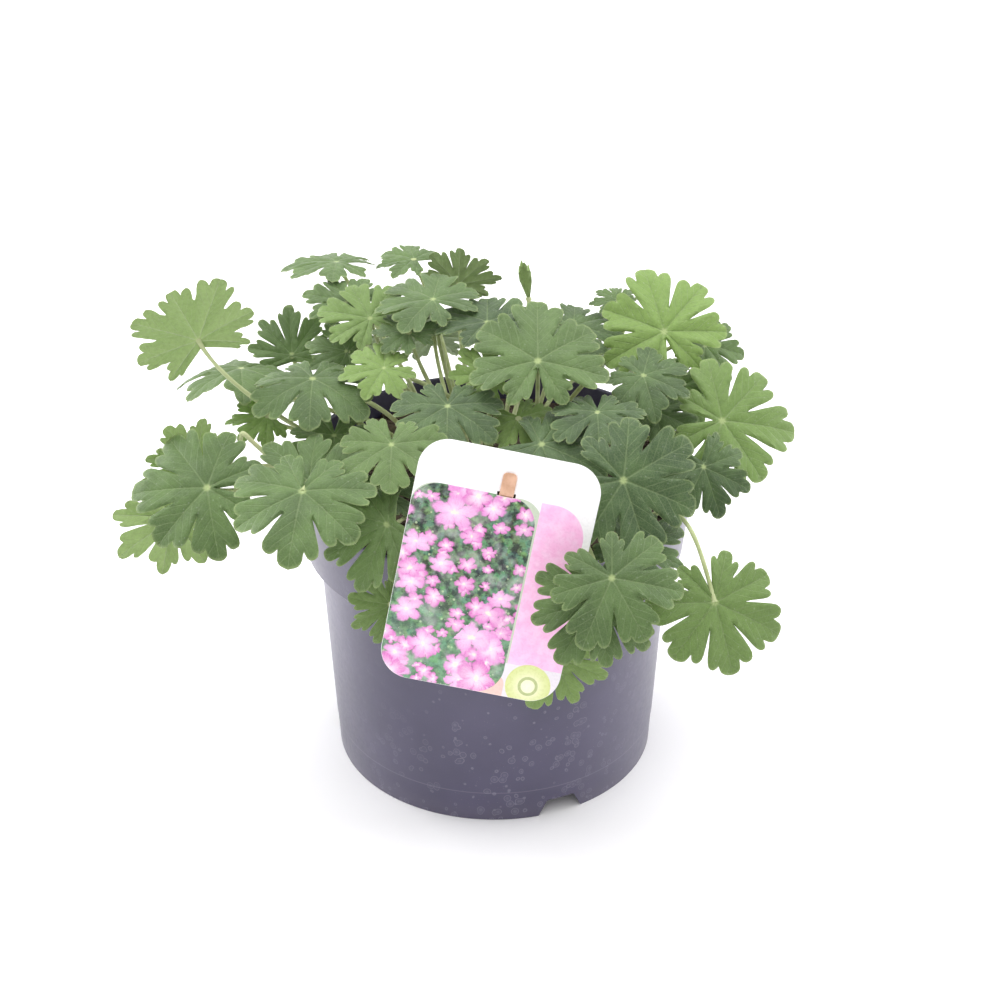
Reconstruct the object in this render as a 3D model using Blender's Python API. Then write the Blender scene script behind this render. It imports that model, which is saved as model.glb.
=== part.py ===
"""Hardy geranium growing in a 17 cm nursery pot with a hanging label.

Sizes are metres, +Z is up and the viewer stands on the -Y side. The tables below are in
millimetres. The plant is set out round the pot axis; the last step moves everything so
that the middle of the whole outline's underside is the origin.
"""
import itertools
import math

import bmesh
import bpy
from mathutils import Matrix, Vector
from mathutils.bvhtree import BVHTree

MM = 0.001

# Pot, turned about the Z axis (mm)
POT_SEGMENTS = 48
POT_HEIGHT = 134.5
RIM_RADIUS = 85.0
COLLAR_Z = 101.0
FLOOR_Z = 12.6
FLOOR_TOP = 14.0
NOTCH_ANGLES = (-66.0, 54.0, 174.0)
NOTCH_HEIGHT = 8.0
NOTCH_WIDE, NOTCH_NARROW = 21.0, 12.0
NOTCH_FROM, NOTCH_TO = 58.0, 76.0
DRAIN_RADIUS, DRAIN_CIRCLE, DRAIN_COUNT, DRAIN_SIDES, DRAIN_TURN = 4.0, 44.0, 6, 12, 15.0
GAP = 0.3
SHARP_ANGLE = 35.0

# Section of the pot's inside: floor, foot of the collar, its shelf and the rim (mm)
FLOOR_INSIDE, WALL_INSIDE, SHELF_INSIDE, RIM_INSIDE = 68.9, 74.1, 79.8, 82.9
SHELF_Z = COLLAR_Z + 1.3

# Soil surface: radius, height (mm)
SOIL_TOP = ((0.0, 132.0), (30.0, 130.8), (60.0, 127.6), (81.4, 124.0))

# Label card and its stake (mm)
CARD_W, CARD_H, CARD_T, CARD_CORNER = 72.0, 99.0, 0.6, 12.0
CARD_CENTRE = (-1.5, -88.6, 137.2)
CARD_LEAN, CARD_TURN = 15.0, 11.5
SLOT_W, SLOT_H, SLOT_DROP = 7.4, 1.7, 17.5
STAKE_W, STAKE_T, STAKE_HEAD, STAKE_LEG, STAKE_LEAN = 5.6, 0.9, 9.0, 60.0, 22.0

# Leaves: the picture's own direction, used only to turn the middle lobe
VIEW_PITCH = 30.5
BLADE_T = 0.8
STEM_R0, STEM_R1 = 1.1, 0.85
STEM_SUNK = 9.0
STEM_RINGS = 5
ROOT_SPACING = 4.6
CLEAR = 0.5

# What a stalk may try, best first: root's share of the way out, swing round the pot, steepness
# at the soil, slant under the blade, and its bends
ROOT_SHARES = (0.38, 0.50, 0.28, 0.60, 0.18)
ROOT_SWINGS = (0, 12, -12, 26, -26, 42, -42, 60, -60)
RISES = (1.6, 3.2, 0.9, 0.5)
ARRIVALS = (0.5, 0.1, 0.9, 1.3)
HANGING_SHARES = (0.72, 0.60, 0.48)
HANGING_ARRIVALS = (1.6, 1.4, 1.8, 1.1)
HANGING_BENDS = tuple((pull, bow) for pull in (1.3, 1.0, 1.7, 0.7) for bow in (0.0, 0.3, -0.3))
ROOT_LIMIT = 70.0
PLAIN_BENDS = ((0.42, 0.0),)
MORE_BENDS = tuple((pull, bow) for pull in (0.42, 0.25, 0.6, 0.9) for bow in (0.0, 0.3, -0.3))

# Lobes: angle from the middle lobe, length as a share of the leaf's radius
LOBES = ((-150, 0.72), (-103, 0.90), (-52, 0.98), (0, 1.0), (52, 0.98), (103, 0.90), (150, 0.72))
CUTS = (-172, -127.5, -77.5, -26, 26, 77.5, 127.5, 172)
CUT_DEPTH = 0.34
HEART_CUT = 0.12

# Outline of half a lobe from its cut to its tip: share of the half angle, share of the length
FULL_LOBE = ((-0.93, 0.70), (-0.74, 0.90), (-0.40, 0.84), (-0.20, 0.985),
             (0.20, 0.985), (0.40, 0.84), (0.74, 0.90), (0.93, 0.70))
PLAIN_LOBE = ((-0.90, 0.78), (-0.42, 0.85), (0.0, 1.0), (0.42, 0.85), (0.90, 0.78))

# name, heart x, y, z, radius, facing azimuth, tilt, heading, droop, fold, spread, full outline
LEAVES = (
    # round the label
    ("leaf_front_1", 45, -110, 148, 28, -90, 40, -60, -0.16, 0.05, 1.0, 1),
    ("leaf_front_2", 41, -106, 137, 29, -85, 50, -123, -0.12, 0.06, 0.74, 1),
    ("leaf_front_3", 87, -90, 124, 29, -80, 50, -75, -0.12, 0.08, 1.0, 1),
    ("leaf_front_4", -42, -70, 148, 29, -90, 40, 205, -0.14, 0.06, 0.8, 1),
    ("leaf_front_5", 24, -89, 98, 26, -90, 86, -112, -0.03, 0.03, 0.8, 0),
    ("leaf_front_6", -41, -84, 119, 18, -80, 80, -150, -0.04, 0.04, 0.8, 0),
    # centre of the front
    ("leaf_mid_1", -41, -45, 170, 25, -90, 16, -90, -0.14, 0.06, 1.0, 1),
    ("leaf_mid_2", -75, -70, 163, 32, -95, 12, -100, -0.16, 0.06, 1.0, 1),
    ("leaf_mid_3", 51, -65, 165, 32, -85, 46, -20, -0.18, 0.05, 1.0, 1),
    ("leaf_mid_5", -19, -20, 174, 26, -90, 6, -90, -0.20, 0.07, 1.0, 1),
    ("leaf_mid_6", -75, -42, 151, 27, -90, 28, 85, -0.10, 0.06, 0.9, 0),
    ("leaf_mid_7", 42, -25, 174, 22, -90, 8, -90, -0.16, 0.07, 1.0, 1),
    ("leaf_mid_4", 19, -46, 171, 30, -90, 14, -20, -0.20, 0.08, 0.9, 0),
    # top of the plant
    ("leaf_top_1", 18, -5, 187, 32, -90, 27, 90, -0.12, 0.06, 1.0, 1),
    ("leaf_top_2", -3, 25, 190, 26, -90, 4, 90, -0.14, 0.07, 1.0, 1),
    ("leaf_top_3", -26, 40, 193, 26, -90, 6, 150, -0.16, 0.07, 1.0, 1),
    ("leaf_top_4", -36, 18, 189, 17, -90, 14, 130, -0.12, 0.06, 1.0, 0),
    ("leaf_top_5", -53, 30, 190, 23, -90, 30, 120, -0.10, 0.08, 0.95, 1),
    ("leaf_top_6", -16, 75, 184, 21, 90, 78, 85, -0.08, 0.06, 0.72, 0),
    ("leaf_top_7", -70, 85, 190, 25, 90, 10, 175, -0.16, 0.06, 1.0, 0),
    ("leaf_top_8", -64, 52, 186, 20, -90, 16, 120, -0.10, 0.08, 0.9, 0),
    ("leaf_top_9", 34, 45, 178, 24, -90, 6, -10, -0.16, 0.07, 1.0, 1),
    ("leaf_top_10", -46, 8, 177, 19, -90, 18, 190, -0.10, 0.08, 1.0, 0),
    ("leaf_top_11", -2, 2, 177, 18, -90, 26, 180, -0.10, 0.08, 0.9, 0),
    ("leaf_top_12", -36, 92, 188, 18, -90, 2, 160, -0.14, 0.08, 0.9, 0),
    ("leaf_young", 15, 70, 179, 19, 90, 84, 100, -0.02, 0.10, 0.10, 0),
    # left side
    ("leaf_left_1", -123, 10, 189, 30, 105, 84, 116, -0.08, 0.08, 0.80, 1),
    ("leaf_left_2", -109, 35, 163, 29, 90, 12, 198, -0.30, 0.06, 1.0, 0),
    ("leaf_left_3", -89, 45, 165, 23, -90, 48, 95, -0.06, 0.06, 0.72, 0),
    ("leaf_left_4", -76, 8, 172, 29, -90, 5, -90, -0.24, 0.06, 1.0, 1),
    ("leaf_left_5", -116, -45, 150, 32, -100, 27, 180, -0.16, 0.06, 1.0, 1),
    ("leaf_left_6", -133, -50, 139, 27, 110, 86, 215, -0.06, 0.08, 0.85, 0),
    ("leaf_left_7", -124, -18, 147, 24, 110, 80, 175, -0.06, 0.06, 0.8, 0),
    ("leaf_left_8", -63, 35, 171, 19, -90, 30, 165, -0.10, 0.06, 0.8, 0),
    ("leaf_left_9", -96, 12, 152, 18, -90, 20, 185, -0.12, 0.05, 0.8, 0),
    ("leaf_left_10", -67, -5, 152, 22, -90, 18, -90, -0.12, 0.05, 1.0, 0),
    # right side
    ("leaf_right_1", 72, 30, 183, 30, -90, 42, 105, -0.12, 0.08, 1.0, 1),
    ("leaf_right_2", 54, 58, 184, 13, -90, 10, 150, -0.12, 0.08, 0.8, 0),
    ("leaf_right_3", 91, 45, 169, 20, -60, 40, -50, -0.14, 0.06, 0.9, 0),
    ("leaf_right_4", 95, -5, 159, 31, -80, 36, -5, -0.14, 0.06, 1.0, 1),
    ("leaf_right_6", 62, 5, 175, 22, -90, 12, -20, -0.20, 0.06, 1.0, 0),
    ("leaf_right_7", 67, 0, 161, 21, -90, 14, -20, -0.14, 0.06, 1.0, 0),
    ("leaf_right_8", 86, -28, 150, 22, -75, 50, -70, -0.12, 0.06, 0.9, 0),
    ("leaf_right_5", 79, 28, 157, 22, -80, 16, 30, -0.14, 0.06, 1.0, 0),
    # in the shade between the others
    ("leaf_front_7", 54, -82, 146, 24, -85, 28, -20, -0.10, 0.06, 0.9, 0),
    ("leaf_mid_8", -47, -45, 150, 20, -90, 22, -90, -0.10, 0.05, 0.9, 0),
    ("leaf_mid_9", 10, -14, 165, 18, -90, 18, -60, -0.10, 0.06, 0.9, 0),
    # round the back
    ("leaf_back_1", -60, 82, 150, 26, 110, 42, 90, -0.14, 0.06, 1.0, 0),
    ("leaf_back_2", -28, 98, 147, 27, 100, 48, 90, -0.14, 0.06, 1.0, 0),
    ("leaf_back_3", 12, 100, 148, 27, 88, 46, 90, -0.14, 0.06, 1.0, 0),
    ("leaf_back_4", 48, 92, 142, 26, 70, 45, 70, -0.14, 0.06, 1.0, 0),
    ("leaf_back_5", 84, 72, 134, 25, 45, 45, 40, -0.14, 0.06, 1.0, 0),
    ("leaf_back_6", -92, 66, 134, 25, 140, 45, 140, -0.14, 0.06, 1.0, 0),
)

# Brown rootstock lumps lying on the soil: x, y, half length, half width, turn (degrees)
ROOTSTOCKS = (
    ("rootstock_1", 44, -22, 12, 4.2, 80),
    ("rootstock_2", -10, -30, 10, 3.8, 20),
)


def clear_scene():
    for ob in list(bpy.data.objects):
        bpy.data.objects.remove(ob, do_unlink=True)


def material(name, colour, roughness, metallic=0.0):
    mat = bpy.data.materials.new(name)
    mat.use_nodes = True
    shader = mat.node_tree.nodes["Principled BSDF"]
    shader.inputs["Base Color"].default_value = (*colour, 1.0)
    shader.inputs["Roughness"].default_value = roughness
    shader.inputs["Metallic"].default_value = metallic
    return mat


def add_object(name, verts, faces, mat, smooth=False):
    """A closed mesh in millimetres becomes an object in metres with its faces turned outward."""
    mesh = bpy.data.meshes.new(name)
    bm = bmesh.new()
    points = [bm.verts.new(Vector(v) * MM) for v in verts]
    for face in faces:
        bm.faces.new([points[i] for i in face])
    bmesh.ops.recalc_face_normals(bm, faces=bm.faces)
    if bm.calc_volume(signed=True) < 0:
        bmesh.ops.reverse_faces(bm, faces=bm.faces)
    for face in bm.faces:
        face.smooth = smooth
    bm.to_mesh(mesh)
    bm.free()
    ob = bpy.data.objects.new(name, mesh)
    bpy.context.collection.objects.link(ob)
    if mat:
        mesh.materials.append(mat)
    return ob


def cut_away(ob, cutters):
    """Take every cutter out of the object, apply the result and remove the cutters."""
    group = bpy.data.collections.new(ob.name + "_cutters")
    bpy.context.scene.collection.children.link(group)
    for cutter in cutters:
        for home in list(cutter.users_collection):
            home.objects.unlink(cutter)
        group.objects.link(cutter)
        cutter.hide_render = True
        cutter.display_type = "WIRE"
    mod = ob.modifiers.new("cut", "BOOLEAN")
    mod.operation = "DIFFERENCE"
    mod.solver = "EXACT"
    mod.operand_type = "COLLECTION"
    mod.collection = group
    depsgraph = bpy.context.evaluated_depsgraph_get()
    mesh = bpy.data.meshes.new_from_object(ob.evaluated_get(depsgraph))
    ob.modifiers.clear()
    old = ob.data
    ob.data = mesh
    bpy.data.meshes.remove(old)
    for cutter in cutters:
        bpy.data.objects.remove(cutter, do_unlink=True)
    bpy.data.collections.remove(group)
    bm = bmesh.new()
    bm.from_mesh(ob.data)
    bmesh.ops.remove_doubles(bm, verts=bm.verts, dist=1e-6)
    bmesh.ops.triangulate(bm, faces=bm.faces)
    bm.to_mesh(ob.data)
    bm.free()


def turned(profile, segments):
    """Spin a profile whose first and last points lie on the axis."""
    verts, faces = [], []
    rings = []
    for radius, z in profile:
        if radius == 0:
            verts.append((0, 0, z))
            rings.append([len(verts) - 1] * segments)
        else:
            start = len(verts)
            for i in range(segments):
                a = 2 * math.pi * i / segments
                verts.append((radius * math.cos(a), radius * math.sin(a), z))
            rings.append(list(range(start, start + segments)))
    for low, high in zip(rings, rings[1:]):
        for i in range(segments):
            j = (i + 1) % segments
            face = [low[i], low[j], high[j], high[i]]
            face = [v for k, v in enumerate(face) if v not in face[:k]]
            faces.append(face)
    return verts, faces


def prism(name, outline, near, far):
    """A closed prism between two copies of an outline, given as point lists."""
    n = len(outline)
    verts = [near(p) for p in outline] + [far(p) for p in outline]
    faces = [list(range(n)), list(range(2 * n - 1, n - 1, -1))]
    faces += [[i, (i + 1) % n, n + (i + 1) % n, n + i] for i in range(n)]
    return add_object(name, verts, faces, None)


def build_pot(mat):
    section = (
        (0, FLOOR_TOP), (FLOOR_INSIDE, FLOOR_TOP), (WALL_INSIDE, SHELF_Z), (SHELF_INSIDE, SHELF_Z),
        (RIM_INSIDE, POT_HEIGHT - 0.8), (RIM_INSIDE + 0.4, POT_HEIGHT),
        (RIM_RADIUS - 0.3, POT_HEIGHT), (RIM_RADIUS, POT_HEIGHT - 0.4),
        (RIM_RADIUS, POT_HEIGHT - 1.9), (84.2, POT_HEIGHT - 2.3), (81.0, COLLAR_Z),
        (75.3, COLLAR_Z), (70.3, 15.0), (69.4, 0), (67.9, 0), (68.4, FLOOR_Z), (0, FLOOR_Z),
    )
    verts, faces = turned(section, POT_SEGMENTS)
    pot = add_object("pot", verts, faces, mat)
    cutters = []
    for angle in NOTCH_ANGLES:
        out = Vector((math.cos(math.radians(angle)), math.sin(math.radians(angle)), 0))
        side = Vector((-out.y, out.x, 0))
        shape = ((-NOTCH_WIDE / 2, -1), (NOTCH_WIDE / 2, -1), (NOTCH_NARROW / 2, NOTCH_HEIGHT),
                 (-NOTCH_NARROW / 2, NOTCH_HEIGHT))
        cutters.append(prism("notch_cutter", shape,
                             lambda p: out * NOTCH_FROM + side * p[0] + Vector((0, 0, p[1])),
                             lambda p: out * NOTCH_TO + side * p[0] + Vector((0, 0, p[1]))))
    for k in range(DRAIN_COUNT):
        angle = math.radians(DRAIN_TURN + 360 * k / DRAIN_COUNT)
        middle = Vector((math.cos(angle), math.sin(angle), 0)) * DRAIN_CIRCLE
        shape = []
        for i in range(DRAIN_SIDES):
            a = 2 * math.pi * i / DRAIN_SIDES
            shape.append((DRAIN_RADIUS * math.cos(a), DRAIN_RADIUS * math.sin(a)))
        cutters.append(prism("drain_cutter", shape,
                             lambda p: middle + Vector((p[0], p[1], FLOOR_Z - 2)),
                             lambda p: middle + Vector((p[0], p[1], FLOOR_TOP + 2))))
    cut_away(pot, cutters)
    shade_smooth(pot)
    return pot


def shade_smooth(ob):
    """Smooth shading with the corners kept sharp."""
    ob.data.shade_smooth()
    ob.data.set_sharp_from_angle(angle=math.radians(SHARP_ANGLE))


def build_soil(mat):
    shelf = SHELF_Z + GAP
    section = [(0, FLOOR_TOP + GAP), (FLOOR_INSIDE - GAP, FLOOR_TOP + GAP),
               (WALL_INSIDE - GAP, shelf), (SHELF_INSIDE - GAP, shelf)]
    section += list(reversed(SOIL_TOP))
    verts, faces = turned(section, POT_SEGMENTS)
    return add_object("soil", verts, faces, mat)


def soil_height(x, y):
    r = math.hypot(x, y)
    for (r0, z0), (r1, z1) in zip(SOIL_TOP, SOIL_TOP[1:]):
        if r <= r1:
            return z0 + (z1 - z0) * (r - r0) / (r1 - r0)
    return SOIL_TOP[-1][1]


def card_axes():
    lean, turn = math.radians(CARD_LEAN), math.radians(CARD_TURN)
    up0 = Vector((0, math.sin(lean), math.cos(lean)))
    front = Vector((0, -math.cos(lean), math.sin(lean)))
    side0 = Vector((1, 0, 0))
    up = up0 * math.cos(turn) + side0 * math.sin(turn)
    side = side0 * math.cos(turn) - up0 * math.sin(turn)
    return side, up, front


def build_card(mat):
    side, up, front = card_axes()
    centre = Vector(CARD_CENTRE)
    outline = []
    for cx, cy, start in ((1, 1, 0), (-1, 1, 90), (-1, -1, 180), (1, -1, 270)):
        for i in range(7):
            a = math.radians(start + 15 * i)
            outline.append((cx * (CARD_W / 2 - CARD_CORNER) + CARD_CORNER * math.cos(a),
                            cy * (CARD_H / 2 - CARD_CORNER) + CARD_CORNER * math.sin(a)))
    half = CARD_T / 2
    card = prism("label_card", outline,
                 lambda p: centre + side * p[0] + up * p[1] + front * half,
                 lambda p: centre + side * p[0] + up * p[1] - front * half)
    card.data.materials.append(mat)
    drop = CARD_H / 2 - SLOT_DROP
    shape = ((-SLOT_W / 2, drop - SLOT_H / 2), (SLOT_W / 2, drop - SLOT_H / 2),
             (SLOT_W / 2, drop + SLOT_H / 2), (-SLOT_W / 2, drop + SLOT_H / 2))
    cut_away(card, [prism("slot_cutter", shape,
                          lambda p: centre + side * p[0] + up * p[1] + front * 2,
                          lambda p: centre + side * p[0] + up * p[1] - front * 2)])
    return card


def stake_profile(fat, top):
    """Side view of the stake in the card's own up and front directions: a head in front of the
    card, a step through the slot and a leg behind. A fattened one is only the leg."""
    lean = math.radians(STAKE_LEAN)
    t = STAKE_T / 2
    inner = 0.45
    down = Vector((-math.cos(lean), -math.sin(lean)))
    back = Vector((math.sin(lean), -math.cos(lean)))
    knee = Vector((-3.0, -inner))
    behind = back * STAKE_T
    end = knee + down * (STAKE_LEG + fat)
    if fat:
        start = knee + down * top
        return [start - back * fat, start + behind + back * fat, end + behind + back * fat,
                end - back * fat]
    return [Vector((STAKE_HEAD, inner)), Vector((STAKE_HEAD, inner + STAKE_T)),
            Vector((-t, inner + STAKE_T)), Vector((-t, -inner)), knee, end, end + behind,
            knee + behind, Vector((t, -inner - STAKE_T)), Vector((t, inner))]


def build_stake(name, mat, fat=0.0, top=0.0):
    side, up, front = card_axes()
    slot = Vector(CARD_CENTRE) + up * (CARD_H / 2 - SLOT_DROP)
    half = STAKE_W / 2 + fat
    stake = prism(name, stake_profile(fat, top),
                  lambda p: slot + up * p[0] + front * p[1] + side * half,
                  lambda p: slot + up * p[0] + front * p[1] - side * half)
    if mat:
        stake.data.materials.append(mat)
    return stake


def leaf_axes(azimuth, tilt, heading):
    """Side, middle-lobe and face directions of a blade."""
    az, ti, he = (math.radians(v) for v in (azimuth, tilt, heading))
    pitch = math.radians(VIEW_PITCH)
    face = Vector((math.sin(ti) * math.cos(az), math.sin(ti) * math.sin(az), math.cos(ti)))
    wanted = Vector((math.cos(he), math.sin(he) * math.sin(pitch), math.sin(he) * math.cos(pitch)))
    sight = Vector((0, math.cos(pitch), -math.sin(pitch)))
    square = sight.dot(face)
    if abs(square) > 0.25:
        ahead = wanted - sight * (wanted.dot(face) / square)
    else:
        ahead = wanted - face * wanted.dot(face)
    ahead.normalize()
    return face.cross(ahead), ahead, face


def lobe_of(angle):
    for k in range(7):
        if CUTS[k] <= angle <= CUTS[k + 1]:
            return k
    return 6 if angle > 0 else 0


def relief(angle, reach, radius, droop, fold, seed):
    """Height of a blade's surface over its flat plane at an angle (degrees) and a share of the
    radius: the whole blade droops, each lobe is raised or lowered and folded along its vein."""
    k = lobe_of(angle)
    middle = LOBES[k][0]
    half = (middle - CUTS[k]) if angle < middle else (CUTS[k + 1] - middle)
    share = min(1.0, abs(angle - middle) / half)
    lifts = [0.10 * math.sin(1.7 * seed + 2.3 * i) for i in range(8)]
    low, high = lifts[k], lifts[k + 1]
    lift = low + (high - low) * (angle - CUTS[k]) / (CUTS[k + 1] - CUTS[k])
    return radius * reach * (droop * reach + lift * reach + fold * share)


def leaf_mesh(spec, heart, axes, stem, fat=0.0):
    """One leaf as a closed mesh: a lobed blade with its stalk drawn out of the underside.

    The stalk is a list of (point, radius) from its sunk end up to just under the blade."""
    seed = sum(ord(c) for c in spec[0])
    radius, (droop, fold, spread, full) = spec[4], spec[8:]
    side, ahead, face = axes
    half = BLADE_T / 2 + fat

    def place(angle, length, grow=0.0):
        a = math.radians(angle * (spread if abs(angle) < 180 else 1))
        reach = length / radius
        z = relief(angle, reach, radius, droop, fold, seed)
        flat = side * math.sin(a) + ahead * math.cos(a)
        return heart + flat * (length + grow) + face * z

    outline, middles = [], []
    for k, (middle, share) in enumerate(LOBES):
        length = share * radius * (1 + 0.05 * math.sin(2.1 * seed + 3.7 * k))
        depth = HEART_CUT if k == 0 else CUT_DEPTH
        cut_at = 180 if k == 0 else CUTS[k]
        outline.append((k, place(cut_at, depth * radius, fat)))
        shape = FULL_LOBE if full and 0 < k < 6 else PLAIN_LOBE
        for f, r in shape:
            half_angle = (middle - CUTS[k]) if f < 0 else (CUTS[k + 1] - middle)
            outline.append((k, place(middle + f * half_angle, r * length, fat)))
        middles.append(place(middle, 0.6 * length))
    count = len(outline)
    tops = [p for _, p in outline] + middles + [heart]
    n = len(tops)
    verts = [p + face * half for p in tops] + [p - face * half for p in tops]
    heart_top = n - 1
    faces, inner = [], []
    for i in range(count):
        k = outline[i][0]
        j = (i + 1) % count
        faces.append([count + k, i, j])
        faces.append([n + count + k, n + j, n + i])
        faces.append([i, n + i, n + j, j])
    first = [next(i for i in range(count) if outline[i][0] == k) for k in range(7)]
    for k in range(7):
        inner += [first[k], count + k]
    for a, b in zip(inner, inner[1:] + inner[:1]):
        faces.append([heart_top, a, b])
    verts.pop()
    if stem is None:
        verts.append(heart - face * half)
        for a, b in zip(inner, inner[1:] + inner[:1]):
            faces.append([2 * n - 1, n + b, n + a])
        return verts, faces
    # stalk rings, carried along the stalk without twist
    points = [p for p, _ in stem] + [heart - face * half]
    radii = [r + fat for _, r in stem] + [STEM_R1 * 1.25 + fat]
    rings = []
    tangent = (points[1] - points[0]).normalized()
    across = tangent.orthogonal().normalized()
    for i, p in enumerate(points):
        if i == len(points) - 1:
            new = face
        elif i == 0:
            new = tangent
        else:
            new = ((points[i + 1] - p).normalized() + (p - points[i - 1]).normalized()).normalized()
        across = tangent.rotation_difference(new) @ across
        across = (across - new * across.dot(new)).normalized()
        tangent = new
        other = new.cross(across)
        ring = []
        for q in range(4):
            a = math.pi / 2 * q
            ring.append(len(verts))
            verts.append(p + (across * math.cos(a) + other * math.sin(a)) * radii[i])
        rings.append(ring)
    faces.append(list(reversed(rings[0])))
    for low, high in zip(rings, rings[1:]):
        for q in range(4):
            w = (q + 1) % 4
            faces.append([low[q], low[w], high[w], high[q]])
    # underside between the stalk's last ring and the points round the heart
    def bearing(index):
        d = verts[index] - heart
        return math.atan2(d.dot(side), d.dot(ahead)) % (2 * math.pi)

    outer = sorted((n + i for i in inner), key=bearing)
    ring = sorted(rings[-1], key=bearing)
    steps = [(bearing(v), "o", i) for i, v in enumerate(outer)]
    steps += [(bearing(v), "r", i) for i, v in enumerate(ring)]
    steps.sort()
    o = len(outer) - 1
    r = len(ring) - 1
    for _, kind, i in steps:
        if kind == "o":
            faces.append([outer[o], outer[i], ring[r]])
            o = i
        else:
            faces.append([ring[r], outer[o], ring[i]])
            r = i
    return verts, faces


def bezier(p0, p1, p2, p3, t):
    s = 1 - t
    return p0 * (s ** 3) + p1 * (3 * s * s * t) + p2 * (3 * s * t * t) + p3 * (t ** 3)


def stem_points(root, aim, rise, heart, axes, lean_in, pull, bow, rings):
    """Centre line of a stalk: straight in the soil, then an arch up to the blade."""
    side, ahead, face = axes
    top = Vector((root.x, root.y, soil_height(root.x, root.y)))
    ray = Vector((aim.x, aim.y, rise)).normalized()
    low = top - ray * STEM_SUNK
    lip = top + ray * 2.5
    span = (heart - lip).length
    under = heart - face * BLADE_T / 2
    reach = pull * min(52.0, 0.86 * span)
    c1 = lip + ray * (pull * span) + Vector((-aim.y, aim.x, 0)) * (bow * span)
    c2 = under - (face * math.cos(lean_in) + ahead * math.sin(lean_in)) * reach
    points = [(low, STEM_R0), (lip, STEM_R0)]
    for i in range(1, rings):
        t = i / rings
        points.append((bezier(lip, c1, c2, under, t), STEM_R0 + (STEM_R1 - STEM_R0) * t))
    return points


def tree_of(verts, faces):
    return BVHTree.FromPolygons([tuple(v) for v in verts], faces)


def mesh_of(ob):
    verts = [v.co / MM for v in ob.data.vertices]
    faces = [list(p.vertices) for p in ob.data.polygons]
    return verts, faces


def stem_only(points, fat):
    """The free part of a stalk as an open tube, for testing."""
    verts, faces = [], []
    rings = []
    for i, (p, r) in enumerate(points):
        a = points[max(0, i - 1)][0]
        b = points[min(len(points) - 1, i + 1)][0]
        axis = (b - a).normalized()
        across = axis.orthogonal().normalized()
        other = axis.cross(across)
        ring = []
        for q in range(4):
            ring.append(len(verts))
            verts.append(p + (across * math.cos(q * math.pi / 2)
                              + other * math.sin(q * math.pi / 2)) * (r + fat) * 1.1)
        rings.append(ring)
    for low, high in zip(rings, rings[1:]):
        for q in range(4):
            for w in range(4):
                faces.append([low[q], low[(q + 1) % 4], high[w]])
    return verts, faces


def joined(meshes):
    """Several (points, faces) meshes as one, for testing."""
    verts, faces = [], []
    for v, f in meshes:
        base = len(verts)
        verts += v
        faces += [[base + i for i in q] for q in f]
    return verts, faces


def sight_line():
    pitch = math.radians(VIEW_PITCH)
    return Vector((0, math.cos(pitch), -math.sin(pitch)))


def blade_with_stub(spec, heart, axes, fat):
    """A fattened blade with the first stretch of its stalk, which keeps that stretch free."""
    under = heart - axes[2] * (BLADE_T / 2)
    stub = stem_only([(under - axes[2] * 1.0, STEM_R1), (under - axes[2] * 6.0, STEM_R1)], fat)
    return joined([leaf_mesh(spec, heart, axes, None, fat), stub])


def place_leaves(blocked):
    """Set every blade first, then find each a stalk. What touches something that is already
    there slides along the line of sight, which leaves its place in the picture."""
    sight = sight_line()
    blades = {}
    for spec in LEAVES:
        tree = tree_of(*joined([blocked] + [mesh for _, _, mesh, _ in blades.values()]))
        for shift, turn in spots():
            heart = Vector(spec[1:4]) + sight * shift
            axes = leaf_axes(spec[5], spec[6] + turn, spec[7])
            if not tree.overlap(tree_of(*blade_with_stub(spec, heart, axes, CLEAR))):
                mesh = blade_with_stub(spec, heart, axes, 0.0)
                blades[spec[0]] = (heart, axes, mesh, (shift, turn))
                break
        else:
            print("no room for the blade of", spec[0])
    placed = []
    stems = []
    roots = []
    for spec in LEAVES:
        if spec[0] not in blades:
            continue
        others = [mesh for name, (_, _, mesh, _) in blades.items() if name != spec[0]]
        tree = tree_of(*joined([blocked] + others + stems))
        old_heart, old_axes, _, move = blades[spec[0]]
        choices = [(old_heart, PLAIN_BENDS, 0), (old_heart, MORE_BENDS, 0)]
        choices += [(old_heart + sight * d, PLAIN_BENDS, d) for d in (2, -2, 4, -4, 7, -7, 10)]
        axes = old_axes
        for heart, bends, d in choices:
            if d and tree.overlap(tree_of(*leaf_mesh(spec, heart, axes, None, CLEAR))):
                continue
            stem = find_stem(spec, heart, axes, tree, roots, bends)
            moved = (move[0] + d, move[1])
            if stem:
                stems.append(stem_only(stem + [stem_end(heart, axes)], 0.0))
                roots.append(sunk_points(stem))
                blades[spec[0]] = (heart, axes, leaf_mesh(spec, heart, axes, None), moved)
                placed.append((spec, heart, axes, stem, moved))
                break
        else:
            print("no room for the stalk of", spec[0])
            del blades[spec[0]]
    return placed


def spots():
    """Steps along the sight line and small changes of tilt, nearest first."""
    for step in range(24):
        for sign in ((1, -1) if 0 < step < 4 else (1,)):
            for turn in (0, 7, -7):
                yield 2.0 * step * sign, turn


def sunk_points(stem):
    """Points along the stretch of a stalk that is in the soil."""
    low, lip = stem[0][0], stem[1][0]
    return [low.lerp(lip, share) for share in (0.0, 0.35, 0.7, 1.0)]


def stem_end(heart, axes):
    """A point just under the blade, where the tested stretch of a stalk ends."""
    return heart - axes[2] * (BLADE_T / 2 + 0.8), STEM_R1


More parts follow.
